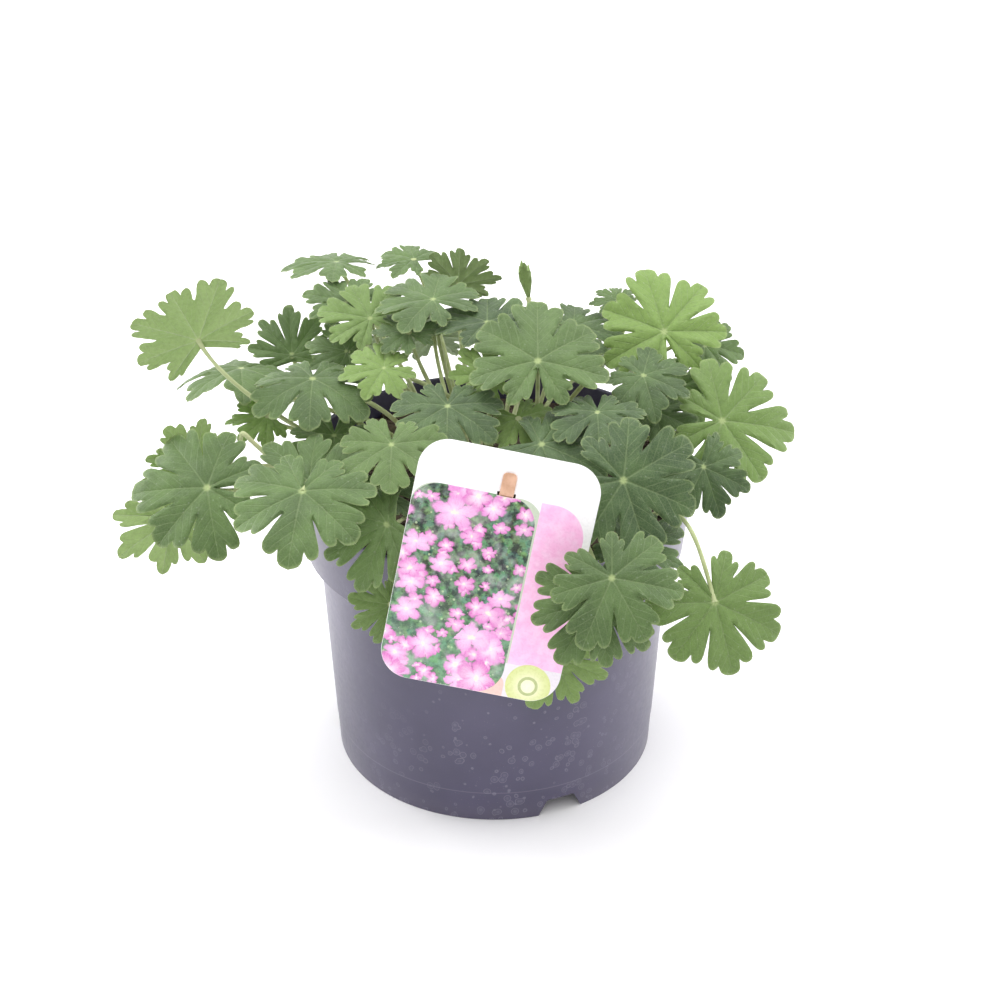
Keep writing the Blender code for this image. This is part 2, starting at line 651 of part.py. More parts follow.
def find_stem(spec, heart, axes, tree, roots, bends):
    """The first free stalk among a range of roots, rises and arrivals under the blade."""
    flat = Vector((heart.x, heart.y, 0))
    far = max(1.0, flat.length)
    own = tree_of(*leaf_mesh(spec, heart, axes, None, 0.1))
    base_angle = math.atan2(flat.y, flat.x)
    end = stem_end(heart, axes)
    # a blade seen from below stands on the end of a stalk that sets off low and turns up
    upright = axes[2].dot(sight_line()) > 0.6
    rises = RISES[::-1] if upright else RISES
    arrivals = ARRIVALS[::-1] if upright else ARRIVALS
    shares = ROOT_SHARES
    if heart.z < POT_HEIGHT and far > RIM_RADIUS:
        # a blade that hangs outside the pot has its stalk over the rim and down to it
        shares, arrivals, bends = HANGING_SHARES, HANGING_ARRIVALS, HANGING_BENDS
    for share, swing in itertools.product(shares, ROOT_SWINGS):
        r = min(share * far, ROOT_LIMIT)
        a = base_angle + math.radians(swing)
        root = Vector((r * math.cos(a), r * math.sin(a), 0))
        aim = flat - root
        aim = aim / max(1.0, aim.length)
        for rise, lean_in, (pull, bow) in itertools.product(rises, arrivals, bends):
            stem = stem_points(root, aim, rise, heart, axes, lean_in, pull, bow, STEM_RINGS)
            sunk = sunk_points(stem)
            if any((p - q).length < ROOT_SPACING for o in roots for p in o for q in sunk):
                continue
            if tree.overlap(tree_of(*stem_only(stem[1:] + [end], CLEAR))):
                continue
            if not own.overlap(tree_of(*stem_only(stem[1:-1], 0.2))):
                return stem
    return None


def build_rootstock(spec, mat):
    """A knobbly lump of rootstock lying on the soil."""
    name, x, y, half_len, half_wide, turn = spec
    seed = sum(ord(c) for c in name)
    around, along = 8, 7
    spin = Matrix.Rotation(math.radians(turn), 4, "Z")
    verts = []
    lift = max(soil_height(x + dx, y + dy) for dx in (-4, 0, 4) for dy in (-10, 0, 10))
    centre = Vector((x, y, lift + half_wide * 0.8 + 0.4))
    verts.append(centre + spin @ Vector((-half_len, 0, 0)))
    for i in range(1, along):
        s = -math.cos(math.pi * i / along)
        r = half_wide * math.sqrt(1 - s * s) * (1 + 0.16 * math.sin(5 * s + seed))
        for j in range(around):
            a = 2 * math.pi * j / around
            bump = 1 + 0.12 * math.sin(3 * a + 2 * i + seed)
            local = Vector((s * half_len, r * bump * math.cos(a), 0.8 * r * bump * math.sin(a)))
            verts.append(centre + spin @ local)
    verts.append(centre + spin @ Vector((half_len, 0, 0)))
    faces = []
    for j in range(around):
        k = (j + 1) % around
        faces.append([0, 1 + k, 1 + j])
        last = 1 + (along - 2) * around
        faces.append([len(verts) - 1, last + j, last + k])
        for i in range(along - 2):
            a, b = 1 + i * around, 1 + (i + 1) * around
            faces.append([a + j, a + k, b + k, b + j])
    low = min(v.z - soil_height(v.x, v.y) for v in verts)
    verts = [v + Vector((0, 0, GAP - low)) for v in verts]
    return add_object(name, verts, faces, mat, smooth=True)


def main():
    clear_scene()
    plastic = material("pot_plastic", (0.085, 0.078, 0.115), 0.38)
    earth = material("soil_brown", (0.045, 0.028, 0.018), 0.95)
    card_mat = material("label_white", (0.86, 0.84, 0.85), 0.35)
    stake_mat = material("stake_tan", (0.76, 0.57, 0.44), 0.45)
    bark = material("rootstock_brown", (0.16, 0.07, 0.045), 0.85)

    pot = build_pot(plastic)
    soil = build_soil(earth)
    card = build_card(card_mat)
    stake = build_stake("label_stake", stake_mat)
    stocks = [build_rootstock(spec, bark) for spec in ROOTSTOCKS]

    placed = place_leaves(joined([mesh_of(ob) for ob in [pot, soil, card, stake] + stocks]))

    cutters = [build_stake("stake_hole", None, fat=0.4, top=28.0)]
    for index, (spec, heart, axes, stem, moved) in enumerate(placed):
        green = 0.20 + 0.05 * math.sin(3.1 * index)
        leaf_mat = material(spec[0] + "_green", (0.55 * green, green, 0.35 * green), 0.6)
        v, f = leaf_mesh(spec, heart, axes, stem)
        add_object(spec[0], v, f, leaf_mat)
        low, lip = stem[0][0], stem[1][0]
        ray = (lip - low).normalized()
        across = ray.orthogonal().normalized()
        other = ray.cross(across)
        hole = [(math.cos(math.pi / 3 * i), math.sin(math.pi / 3 * i)) for i in range(6)]
        wide = (STEM_R0 + 0.4) / math.cos(math.pi / 6)
        cutters.append(prism("stem_hole", hole,
                             lambda p: low - ray * 0.5 + (across * p[0] + other * p[1]) * wide,
                             lambda p: lip + ray * 3 + (across * p[0] + other * p[1]) * wide))
    cut_away(soil, cutters)
    shade_smooth(soil)

    corners = [v.co for ob in bpy.data.objects for v in ob.data.vertices]
    low = [min(c[i] for c in corners) for i in range(3)]
    high = [max(c[i] for c in corners) for i in range(3)]
    move = Vector((-(low[0] + high[0]) / 2, -(low[1] + high[1]) / 2, -low[2]))
    for ob in bpy.data.objects:
        for v in ob.data.vertices:
            v.co += move
    return placed


if __name__ == "__main__":
    main()
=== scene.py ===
"""Looks of a potted hardy geranium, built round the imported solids.

Lengths in the tables are millimetres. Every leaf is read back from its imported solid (heart,
face direction and stalk) and made again with a fine lobed blade, veins, hairs and a round
stalk. The pot, soil, rootstock, label and stake are finer versions of their solids.
"""
import math
import random
from math import cos, pi, radians, sin

import bmesh
import bpy
import numpy as np
from mathutils import Matrix, Vector, noise
from mathutils.geometry import delaunay_2d_cdt


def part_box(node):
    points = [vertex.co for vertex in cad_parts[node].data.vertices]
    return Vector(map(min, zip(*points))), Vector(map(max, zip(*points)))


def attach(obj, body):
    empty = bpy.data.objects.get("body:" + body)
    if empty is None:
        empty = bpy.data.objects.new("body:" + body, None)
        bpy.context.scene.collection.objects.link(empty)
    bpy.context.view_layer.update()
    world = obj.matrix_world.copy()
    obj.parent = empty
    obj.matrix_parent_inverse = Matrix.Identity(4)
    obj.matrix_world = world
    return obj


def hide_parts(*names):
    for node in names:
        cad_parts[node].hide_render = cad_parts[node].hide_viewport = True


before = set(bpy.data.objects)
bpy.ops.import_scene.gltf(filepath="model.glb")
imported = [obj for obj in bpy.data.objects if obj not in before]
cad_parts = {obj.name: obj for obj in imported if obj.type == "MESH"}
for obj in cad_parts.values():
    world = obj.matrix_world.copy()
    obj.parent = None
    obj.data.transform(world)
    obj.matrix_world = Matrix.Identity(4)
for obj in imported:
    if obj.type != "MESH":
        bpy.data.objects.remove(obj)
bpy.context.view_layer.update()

MM = 0.001
pot_low, pot_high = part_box("pot")
AXIS = Vector(((pot_low.x + pot_high.x) / 2, (pot_low.y + pot_high.y) / 2, 0)) / MM

# Camera fitted to the pot in the photo; it aims at a point given from the pot axis
VIEW_PITCH, VIEW_DISTANCE, VIEW_AIM = 30.5, 1.025, (2.4, 0.0, 117.7)
LENS, SENSOR = 86.4, 36.0

# Lights: name, place from the pot's middle in metres, size, watts, share seen in reflections
LIGHTS = (("softbox_top", (0.0, 0.35, 1.25), 1.3, 13.0, 1.0),
          ("softbox_left", (-1.2, 0.5, 0.42), 1.2, 16.5, 1.0),
          ("softbox_right", (1.25, 0.45, 0.5), 1.1, 11.0, 1.0),
          ("front_fill", (-0.2, -1.15, 1.0), 1.0, 2.0, 0.1))
# Corners in metres of the dark flag that darkens the front's reflections
FLAG = ((-0.9, -1.45, 0.1), (0.9, -1.45, 0.1), (0.9, -1.25, 1.7), (-0.9, -1.25, 1.7))

# Leaf form, the same as in the solids
LOBES = ((-150, 0.72), (-103, 0.90), (-52, 0.98), (0, 1.0), (52, 0.98), (103, 0.90), (150, 0.72))
CUTS = (-172, -127.5, -77.5, -26, 26, 77.5, 127.5, 172)
CUT_DEPTH, HEART_CUT = 0.34, 0.12
SOLID_BLADE = 0.8
# Looks only, from here to the lobes: how much further out the cuts stop, most on the leaves
# that hardly droop, and how much a lobe's sides draw in
JOINED, CUPPED_DROOP, CUT_PLAY, SLIM_PLAY = 0.26, -0.09, 0.14, 0.07
BLADE_T = 0.5
# A leaf with less spread than this is still folded and has a plain outline
FOLDED_SPREAD = 0.3
STALK_FOOT, STALK_TAPER, STALK_SIDES, STALK_STEPS = 1.1, 0.28, 10, 30
FACE_HAIRS, RIM_HAIR_SHARE, STALK_HAIRS = 60, 0.55, 3
VEIN_SLANT, VEIN_STEP, VEIN_WIDTH, VEIN_CLEARANCE = 1.25, 0.15, 0.5, 1.15
GROOVE_TOP, GROOVE_UNDER = 0.26, 0.34
PUCKER, RIPPLE, CURL, CREASE, TWIST = 0.17, 0.9, 0.03, 0.035, 0.05

# Half a lobe from its cut to its tip: share of the half angle, share of the length
FULL_LOBE = ((-0.975, 0.48), (-0.955, 0.60), (-0.94, 0.70), (-0.925, 0.78), (-0.895, 0.845),
             (-0.84, 0.892), (-0.77, 0.918), (-0.68, 0.928), (-0.59, 0.922), (-0.51, 0.900),
             (-0.455, 0.872), (-0.425, 0.848), (-0.40, 0.872), (-0.375, 0.915), (-0.33, 0.955),
             (-0.26, 0.982), (-0.17, 0.997), (-0.08, 1.003))
PLAIN_LOBE = ((-0.975, 0.48), (-0.955, 0.60), (-0.94, 0.69), (-0.915, 0.755), (-0.87, 0.805),
              (-0.80, 0.838), (-0.71, 0.856), (-0.62, 0.858), (-0.54, 0.845), (-0.48, 0.825),
              (-0.45, 0.812), (-0.42, 0.838), (-0.385, 0.885), (-0.33, 0.93), (-0.26, 0.965),
              (-0.17, 0.988), (-0.08, 0.998))

# name: radius, heading in the picture, droop, fold, spread, full outline, how young and bright
LEAVES = {
    "front_1": (28, -60, -0.16, 0.05, 1.0, 1, 0.15),
    "front_2": (29, -123, -0.12, 0.06, 0.74, 1, 0.20),
    "front_3": (29, -75, -0.12, 0.08, 1.0, 1, 0.55),
    "front_4": (29, 205, -0.14, 0.06, 0.8, 1, 0.30),
    "front_5": (26, -112, -0.03, 0.03, 0.8, 0, 0.75),
    "front_6": (18, -150, -0.04, 0.04, 0.8, 0, 0.60),
    "mid_1": (25, -90, -0.14, 0.06, 1.0, 1, 0.35),
    "mid_2": (32, -100, -0.16, 0.06, 1.0, 1, 0.2),
    "mid_3": (32, -20, -0.18, 0.05, 1.0, 1, 0.0),
    "mid_5": (26, -90, -0.20, 0.07, 1.0, 1, 0.0),
    "mid_6": (27, 85, -0.10, 0.06, 0.9, 0, 0.2),
    "mid_7": (22, -90, -0.16, 0.07, 1.0, 1, 0.0),
    "mid_4": (30, -20, -0.20, 0.08, 0.9, 0, 0.0),
    "top_1": (32, 90, -0.12, 0.06, 1.0, 1, 0.25),
    "top_2": (26, 90, -0.14, 0.07, 1.0, 1, 0.0),
    "top_3": (26, 150, -0.16, 0.07, 1.0, 1, 0.15),
    "top_4": (17, 130, -0.12, 0.06, 1.0, 0, 0.1),
    "top_5": (23, 120, -0.10, 0.08, 0.95, 1, 0.65),
    "top_6": (21, 85, -0.08, 0.06, 0.72, 0, 0.5),
    "top_7": (25, 175, -0.16, 0.06, 1.0, 0, 0.2),
    "top_8": (20, 120, -0.10, 0.08, 0.9, 0, 0.2),
    "top_9": (24, -10, -0.16, 0.07, 1.0, 1, 0.1),
    "top_10": (19, 190, -0.10, 0.08, 1.0, 0, 0.9),
    "top_11": (18, 180, -0.10, 0.08, 0.9, 0, 0.9),
    "top_12": (18, 160, -0.14, 0.08, 0.9, 0, 0.2),
    "young": (19, 100, -0.02, 0.10, 0.10, 0, 0.9),
    "left_1": (30, 116, -0.08, 0.08, 0.80, 1, 0.8),
    "left_2": (29, 198, -0.30, 0.06, 1.0, 0, 0.25),
    "left_3": (23, 95, -0.06, 0.06, 0.72, 0, 0.2),
    "left_4": (29, -90, -0.24, 0.06, 1.0, 1, 0.15),
    "left_5": (32, 180, -0.16, 0.06, 1.0, 1, 0.2),
    "left_6": (27, 215, -0.06, 0.08, 0.85, 0, 0.9),
    "left_7": (24, 175, -0.06, 0.06, 0.8, 0, 0.9),
    "left_8": (19, 165, -0.10, 0.06, 0.8, 0, 0.2),
    "left_9": (18, 185, -0.12, 0.05, 0.8, 0, 0.8),
    "left_10": (22, -90, -0.12, 0.05, 1.0, 0, 0.3),
    "right_1": (30, 105, -0.12, 0.08, 1.0, 1, 0.95),
    "right_2": (13, 150, -0.12, 0.08, 0.8, 0, 0.2),
    "right_3": (20, -50, -0.14, 0.06, 0.9, 0, 0.2),
    "right_4": (31, -5, -0.14, 0.06, 1.0, 1, 0.65),
    "right_6": (22, -20, -0.20, 0.06, 1.0, 0, 0.05),
    "right_7": (21, -20, -0.14, 0.06, 1.0, 0, 0.15),
    "right_8": (22, -70, -0.12, 0.06, 0.9, 0, 0.0),
    "right_5": (22, 30, -0.14, 0.06, 1.0, 0, 0.4),
    "front_7": (24, -20, -0.10, 0.06, 0.9, 0, 0.0),
    "mid_8": (20, -90, -0.10, 0.05, 0.9, 0, 0.1),
    "mid_9": (18, -60, -0.10, 0.06, 0.9, 0, 0.8),
    "back_1": (26, 90, -0.14, 0.06, 1.0, 0, 0.3),
    "back_2": (27, 90, -0.14, 0.06, 1.0, 0, 0.15),
    "back_3": (27, 90, -0.14, 0.06, 1.0, 0, 0.35),
    "back_4": (26, 70, -0.14, 0.06, 1.0, 0, 0.1),
    "back_5": (25, 40, -0.14, 0.06, 1.0, 0, 0.45),
    "back_6": (25, 140, -0.14, 0.06, 1.0, 0, 0.2),
}

# Pot wall: middle radius, height of the moulding seam, and where most drops dried (radians)
WALL_RADIUS, SEAM_Z, SPLASH_TURN = 78.0, 14.8, -1.45
# Soil surface: radius, height
SOIL_TOP = ((0.0, 132.0), (30.0, 130.8), (60.0, 127.6), (81.4, 124.0))
SOIL_EDGE, CRUMBS, FIBRES = 81.2, 1500, 90

# Rootstock: name, half length, half width, turn
ROOTSTOCKS = (("rootstock_1", 12, 4.2, 80), ("rootstock_2", 10, 3.8, 20))

# Pot: sides, notches and drain holes, in the same numbers as its solid
POT_SIDES, NOTCH_TURNS, DRAIN_HOLES, DRAIN_REACH, DRAIN_RADIUS = 192, (-66.0, 54.0, 174.0), 6, 44, 4

# Label, in the same numbers as its solids, round the pot axis
CARD_W, CARD_H, CARD_T, CARD_CORNER = 72.0, 99.0, 0.6, 12.0
CARD_CENTRE = (-1.5, -88.6, 137.2)
CARD_LEAN, CARD_TURN = 15.0, 11.5
SLOT_W, SLOT_H, SLOT_DROP = 7.4, 1.7, 17.5
STAKE_HALF, STAKE_T, STAKE_LEG, STAKE_LEAN = 2.8, 0.9, 60.0, 22.0


def rgb(r, g, b):
    """An 8-bit screen colour as the linear one that Blender wants."""
    out = []
    for c in (r, g, b):
        c /= 255
        out.append(c / 12.92 if c <= 0.04045 else ((c + 0.055) / 1.055) ** 2.4)
    return (*out, 1.0)


class Graph:
    """A material whose nodes are written as nested calls."""

    def __init__(self, name):
        self.mat = bpy.data.materials.new(name)
        self.mat.use_nodes = True
        self.tree = self.mat.node_tree
        self.tree.nodes.clear()
        self.coords = self.node("TexCoord", out=3)

    def node(self, kind, ins=None, out=0, **settings):
        made = self.tree.nodes.new("ShaderNode" + kind)
        for key, value in settings.items():
            setattr(made, key, value)
        for key, value in (ins or {}).items():
            if isinstance(value, bpy.types.NodeSocket):
                self.tree.links.new(value, made.inputs[key])
            else:
                made.inputs[key].default_value = value
        return made.outputs[out]

    def math(self, operation, a, b=0.0, c=0.0):
        return self.node("Math", {0: a, 1: b, 2: c}, operation=operation)

    def mul(self, a, b):
        return self.math("MULTIPLY", a, b)

    def add(self, a, b):
        return self.math("ADD", a, b)

    def sub(self, a, b):
        return self.math("SUBTRACT", a, b)

    def abs(self, a):
        return self.math("ABSOLUTE", a)

    def length(self, a, b):
        return self.math("SQRT", self.add(self.mul(a, a), self.mul(b, b)))

    def split(self, vector):
        return self.node("SeparateXYZ", {0: vector}).node.outputs

    def scaled(self, vector, factor):
        return self.node("VectorMath", {0: vector, 3: factor}, operation="SCALE")

    def ramp(self, value, start, end, low=0.0, high=1.0):
        return self.node("MapRange", {0: value, 1: start, 2: end, 3: low, 4: high},
                         interpolation_type="SMOOTHSTEP")

    def mix(self, share, a, b, blend="MIX"):
        return self.node("Mix", {0: share, 6: a, 7: b}, out=2, data_type="RGBA", blend_type=blend)

    def noise(self, scale, detail=3.0, rough=0.5, where=None, out=0):
        return self.node("TexNoise", {"Vector": where or self.coords, "Scale": scale,
                                      "Detail": detail, "Roughness": rough}, out=out)

    def cells(self, scale, feature="F1", out=0, where=None):
        return self.node("TexVoronoi", {"Vector": where or self.coords, "Scale": scale},
                         out=out, feature=feature)

    def bump(self, height, strength, distance):
        return self.node("Bump", {"Height": height, "Strength": strength, "Distance": distance})

    def shader(self, ins):
        return self.node("BsdfPrincipled", ins)

    def done(self, surface):
        end = self.tree.nodes.new("ShaderNodeOutputMaterial")
        self.tree.links.new(surface, end.inputs[0])
        return self.mat

    def opaque(self, base, grain, rough, height, strength, depth, **more):
        """The finished material of a solid surface, its roughness led by a pattern."""
        named = {key.replace("_", " "): value for key, value in more.items()}
        return self.done(self.shader({"Base Color": base, "Roughness": self.ramp(grain, 0.3, 0.7, *rough),
                                      "Normal": self.bump(height, strength, depth), **named}))

    def thin(self, skin, glow, share):
        """The finished material of a thin surface that lets some light through."""
        lit = self.node("BsdfTranslucent", {"Color": glow})
        return self.done(self.node("MixShader", {0: share, 1: skin, 2: lit}))


def leaf_material(name, under):
    """One side of the blades: veins by lobe, a pale junction, a net of small veins, hairs' bloom."""
    g = Graph(name)
    place = g.node("Attribute", attribute_name="leaf_place", out=1)
    tone = g.node("Attribute", attribute_name="leaf_tone", out=1)
    u, v, edge = g.split(place)
    young, odd, _ = g.split(tone)
    r = g.length(u, v)
    turn = g.math("PINGPONG", g.math("ARCTAN2", u, v), pi / 7)
    along = g.mul(r, g.math("COSINE", turn))
    across = g.mul(r, g.math("SINE", turn))
    wobble = g.noise(90, 2.0)
    fade = g.sub(1.0, g.mul(r, 0.6))
    main = g.ramp(g.math("DIVIDE", across, fade), 0.004, 0.022, 1.0, 0.0)
    slanted = g.sub(along, g.mul(across, VEIN_SLANT))
    slanted = g.add(slanted, g.mul(wobble, 0.05))
    branch = g.ramp(g.math("PINGPONG", slanted, VEIN_STEP / 2), 0.003, 0.014, 1.0, 0.0)
    branch = g.mul(branch, g.ramp(r, 0.18, 0.34))
    branch = g.mul(branch, g.ramp(across, 0.16, 0.30, 1.0, 0.35))
    flat = g.node("CombineXYZ", {0: u, 1: v, 2: odd})
    net = g.ramp(g.cells(30, "DISTANCE_TO_EDGE", where=flat), 0.0, 0.12, 1.0, 0.0)
    heart = g.ramp(r, 0.02, 0.07, 1.0, 0.0)
    patch = g.noise(55, 4.0, 0.6)
    grain = g.noise(700, 2.0)
    if under:
        dark, light = rgb(140, 158, 120), rgb(168, 186, 142)
        fresh, vein = rgb(170, 198, 122), rgb(196, 208, 166)
        net_share, rough, glow = 0.22, 0.62, rgb(150, 184, 84)
    else:
        dark, light = rgb(64, 86, 54), rgb(92, 118, 70)
        fresh, vein = rgb(138, 168, 88), rgb(156, 176, 124)
        net_share, rough, glow = 0.16, 0.47, rgb(120, 168, 40)
    base = g.mix(g.ramp(patch, 0.32, 0.68), dark, light)
    base = g.mix(g.ramp(odd, 0.0, 1.0, 0.0, 0.35), base, dark)
    base = g.mix(young, base, fresh)
    base = g.mix(g.mul(net, net_share), base, vein)
    base = g.mix(g.mul(branch, 0.22), base, vein)
    base = g.mix(g.mul(main, 0.5 if under else 0.32), base, vein)
    base = g.mix(g.mul(heart, 0.75), base, rgb(188, 206, 140))
    base = g.mix(g.ramp(edge, 0.955, 1.0, 0.0, 0.45), base, rgb(164, 182, 122))
    specks = g.ramp(g.cells(340), 0.05, 0.16, 1.0, 0.0)
    base = g.mix(g.mul(specks, 0.18), base, rgb(210, 218, 196))
    base = g.mix(g.ramp(grain, 0.35, 0.75, 0.0, 0.14), base, rgb(40, 58, 30))
    height = g.mul(main, 0.5 if under else -0.5)
    height = g.add(height, g.mul(branch, 0.35 if under else -0.35))
    height = g.add(height, g.mul(net, 0.14 if under else -0.14))
    height = g.add(height, g.mul(grain, 0.10))
    skin = g.shader({"Base Color": base, "Normal": g.bump(height, 0.55, 0.0006),
                     "Roughness": g.ramp(g.noise(160, 3.0), 0.3, 0.7, rough - 0.07, rough + 0.09),
                     "Specular IOR Level": 0.42, "Sheen Weight": 0.30, "Sheen Roughness": 0.35,
                     "Sheen Tint": rgb(236, 240, 232)})
    return g.thin(skin, g.mix(0.55, base, glow), 0.24)


def stalk_material():
    """Pale green stalks, some blushed red near their foot, with a fine down."""
    g = Graph("stalk_green")
    tone = g.split(g.node("Attribute", attribute_name="leaf_tone", out=1))
    streak = g.noise(140, 3.0, 0.6)
    base = g.mix(g.ramp(streak, 0.3, 0.7), rgb(150, 164, 104), rgb(186, 196, 144))
    base = g.mix(g.ramp(tone[0], 0.0, 1.0, 0.0, 0.5), base, rgb(206, 214, 168))
    blush = g.mul(g.ramp(g.noise(38, 2.0), 0.55, 0.75), g.ramp(tone[2], 0.0, 0.6, 0.55, 0.0))
    base = g.mix(blush, base, rgb(170, 118, 92))
    hair = g.ramp(g.cells(900), 0.1, 0.35, 1.0, 0.0)
    skin = g.shader({"Base Color": base, "Roughness": g.ramp(streak, 0.3, 0.7, 0.38, 0.55),
                     "Normal": g.bump(hair, 0.35, 0.0002), "Specular IOR Level": 0.4,
                     "Sheen Weight": 0.25, "Sheen Roughness": 0.4})
    return g.thin(skin, base, 0.15)


def hair_material():
    """Pale hairs that let light through."""
    g = Graph("leaf_hair")
    base = g.mix(g.noise(300, 1.0), rgb(196, 206, 170), rgb(226, 230, 212))
    skin = g.shader({"Base Color": base, "Roughness": g.ramp(g.noise(500, 1.0), 0.3, 0.7, 0.45, 0.6)})
    return g.thin(skin, base, 0.4)


def pot_material():
    """Dark blue-grey moulded plastic with water marks, a little dust and fine scratches."""
    g = Graph("pot_plastic_detail")
    x, y, z = g.split(g.coords)
    cloud = g.noise(14, 4.0, 0.6)
    fine = g.noise(420, 3.0, 0.6)
    base = g.mix(g.ramp(cloud, 0.3, 0.7), rgb(53, 49, 75), rgb(66, 61, 89))
    base = g.mix(g.ramp(z, 0.0, 0.012, 0.25, 0.0), base, rgb(104, 99, 112))
    turn = g.math("ARCTAN2", g.sub(y, AXIS.y * MM), g.sub(x, AXIS.x * MM))
    unrolled = g.node("CombineXYZ", {0: g.mul(turn, WALL_RADIUS * MM), 1: z})
    spots = g.cells(230, where=unrolled)
    size = g.ramp(g.noise(90, 2.0), 0.34, 0.62, 0.0, 0.40)
    wide = g.ramp(size, 0.05, 0.17)
    inside = g.mul(g.ramp(spots, 0.0, size, 1.0, 0.0), wide)
    ring = g.mul(g.ramp(g.abs(g.sub(spots, size)), 0.0, 0.06, 1.0, 0.0), wide)
    marks = g.add(g.mul(inside, 0.16), g.mul(ring, 0.24))
    splash = g.ramp(g.abs(g.sub(turn, SPLASH_TURN)), 0.25, 0.75, 1.0, 0.0)
    splash = g.mul(splash, g.ramp(z, 0.06, 0.08, 1.0, 0.0))
    marks = g.mul(marks, g.math("MAXIMUM", splash, g.ramp(g.noise(9, 2.0), 0.40, 0.62, 0.15, 0.8)))
    base = g.mix(marks, base, rgb(168, 164, 178))
    seam = g.ramp(g.abs(g.sub(z, SEAM_Z * MM)), 0.0, 0.0004, 0.22, 0.0)
    base = g.mix(seam, base, rgb(150, 144, 160))
    dust = g.mul(g.ramp(g.cells(620), 0.03, 0.12, 1.0, 0.0), g.ramp(cloud, 0.4, 0.7, 0.05, 0.35))
    base = g.mix(dust, base, rgb(170, 164, 160))
    wall = g.node("CombineXYZ", {0: g.mul(x, 900.0), 1: g.mul(y, 900.0), 2: g.mul(z, 40.0)})
    scratch = g.ramp(g.noise(1.0, 2.0, 0.5, where=wall), 0.66, 0.74)
    rough = g.add(g.ramp(fine, 0.2, 0.8, 0.29, 0.35), g.add(g.mul(marks, 0.5), g.mul(scratch, 0.06)))
    height = g.add(g.add(g.mul(fine, 0.08), g.mul(scratch, -0.05)), g.mul(inside, 0.8))
    return g.done(g.shader({"Base Color": base, "Roughness": rough, "Normal": g.bump(height, 0.25, 0.00010),
                            "Specular IOR Level": 0.75}))


def soil_material():
    """Peaty compost: dark crumbs, fibres, a few pale grains and green moss."""
    g = Graph("soil_detail")
    lump = g.noise(160, 6.0, 0.7)
    tiny = g.noise(900, 3.0, 0.6)
    base = g.mix(g.ramp(lump, 0.3, 0.7), rgb(44, 36, 30), rgb(92, 76, 62))
    base = g.mix(g.ramp(tiny, 0.62, 0.78, 0.0, 0.6), base, rgb(124, 104, 84))
    grains = g.ramp(g.cells(420), 0.06, 0.14, 1.0, 0.0)
    base = g.mix(g.mul(grains, 0.35), base, rgb(186, 176, 160))
    moss = g.mul(g.ramp(g.noise(34, 3.0), 0.58, 0.70), g.ramp(tiny, 0.35, 0.6))
    base = g.mix(g.mul(moss, 0.6), base, rgb(84, 98, 46))
    height = g.add(lump, g.mul(tiny, 0.5))
    return g.opaque(base, tiny, (0.82, 0.98), height, 0.8, 0.0012)


def bark_material():
    """Scaly brown rootstock with pale flecks and dark pits."""
    g = Graph("rootstock_bark")
    lump = g.noise(180, 5.0, 0.65)
    tiny = g.noise(1100, 3.0, 0.6)
    base = g.mix(g.ramp(lump, 0.32, 0.68), rgb(112, 70, 54), rgb(178, 128, 106))
    base = g.mix(g.ramp(tiny, 0.6, 0.8, 0.0, 0.6), base, rgb(214, 176, 150))
    base = g.mix(g.ramp(g.cells(260), 0.0, 0.1, 0.7, 0.0), base, rgb(60, 38, 30))
    height = g.add(lump, g.mul(tiny, 0.4))
    return g.opaque(base, tiny, (0.7, 0.9), height, 0.8, 0.0008)


def stake_material():
    """Tan fibre-filled plastic."""
    g = Graph("stake_plastic")
    grain = g.noise(260, 4.0, 0.6)
    base = g.mix(g.ramp(grain, 0.3, 0.7), rgb(196, 152, 122), rgb(220, 178, 150))
    base = g.mix(g.ramp(g.noise(1200, 2.0), 0.62, 0.8, 0.0, 0.3), base, rgb(150, 108, 84))
    return g.opaque(base, grain, (0.34, 0.5), grain, 0.2, 0.0002)


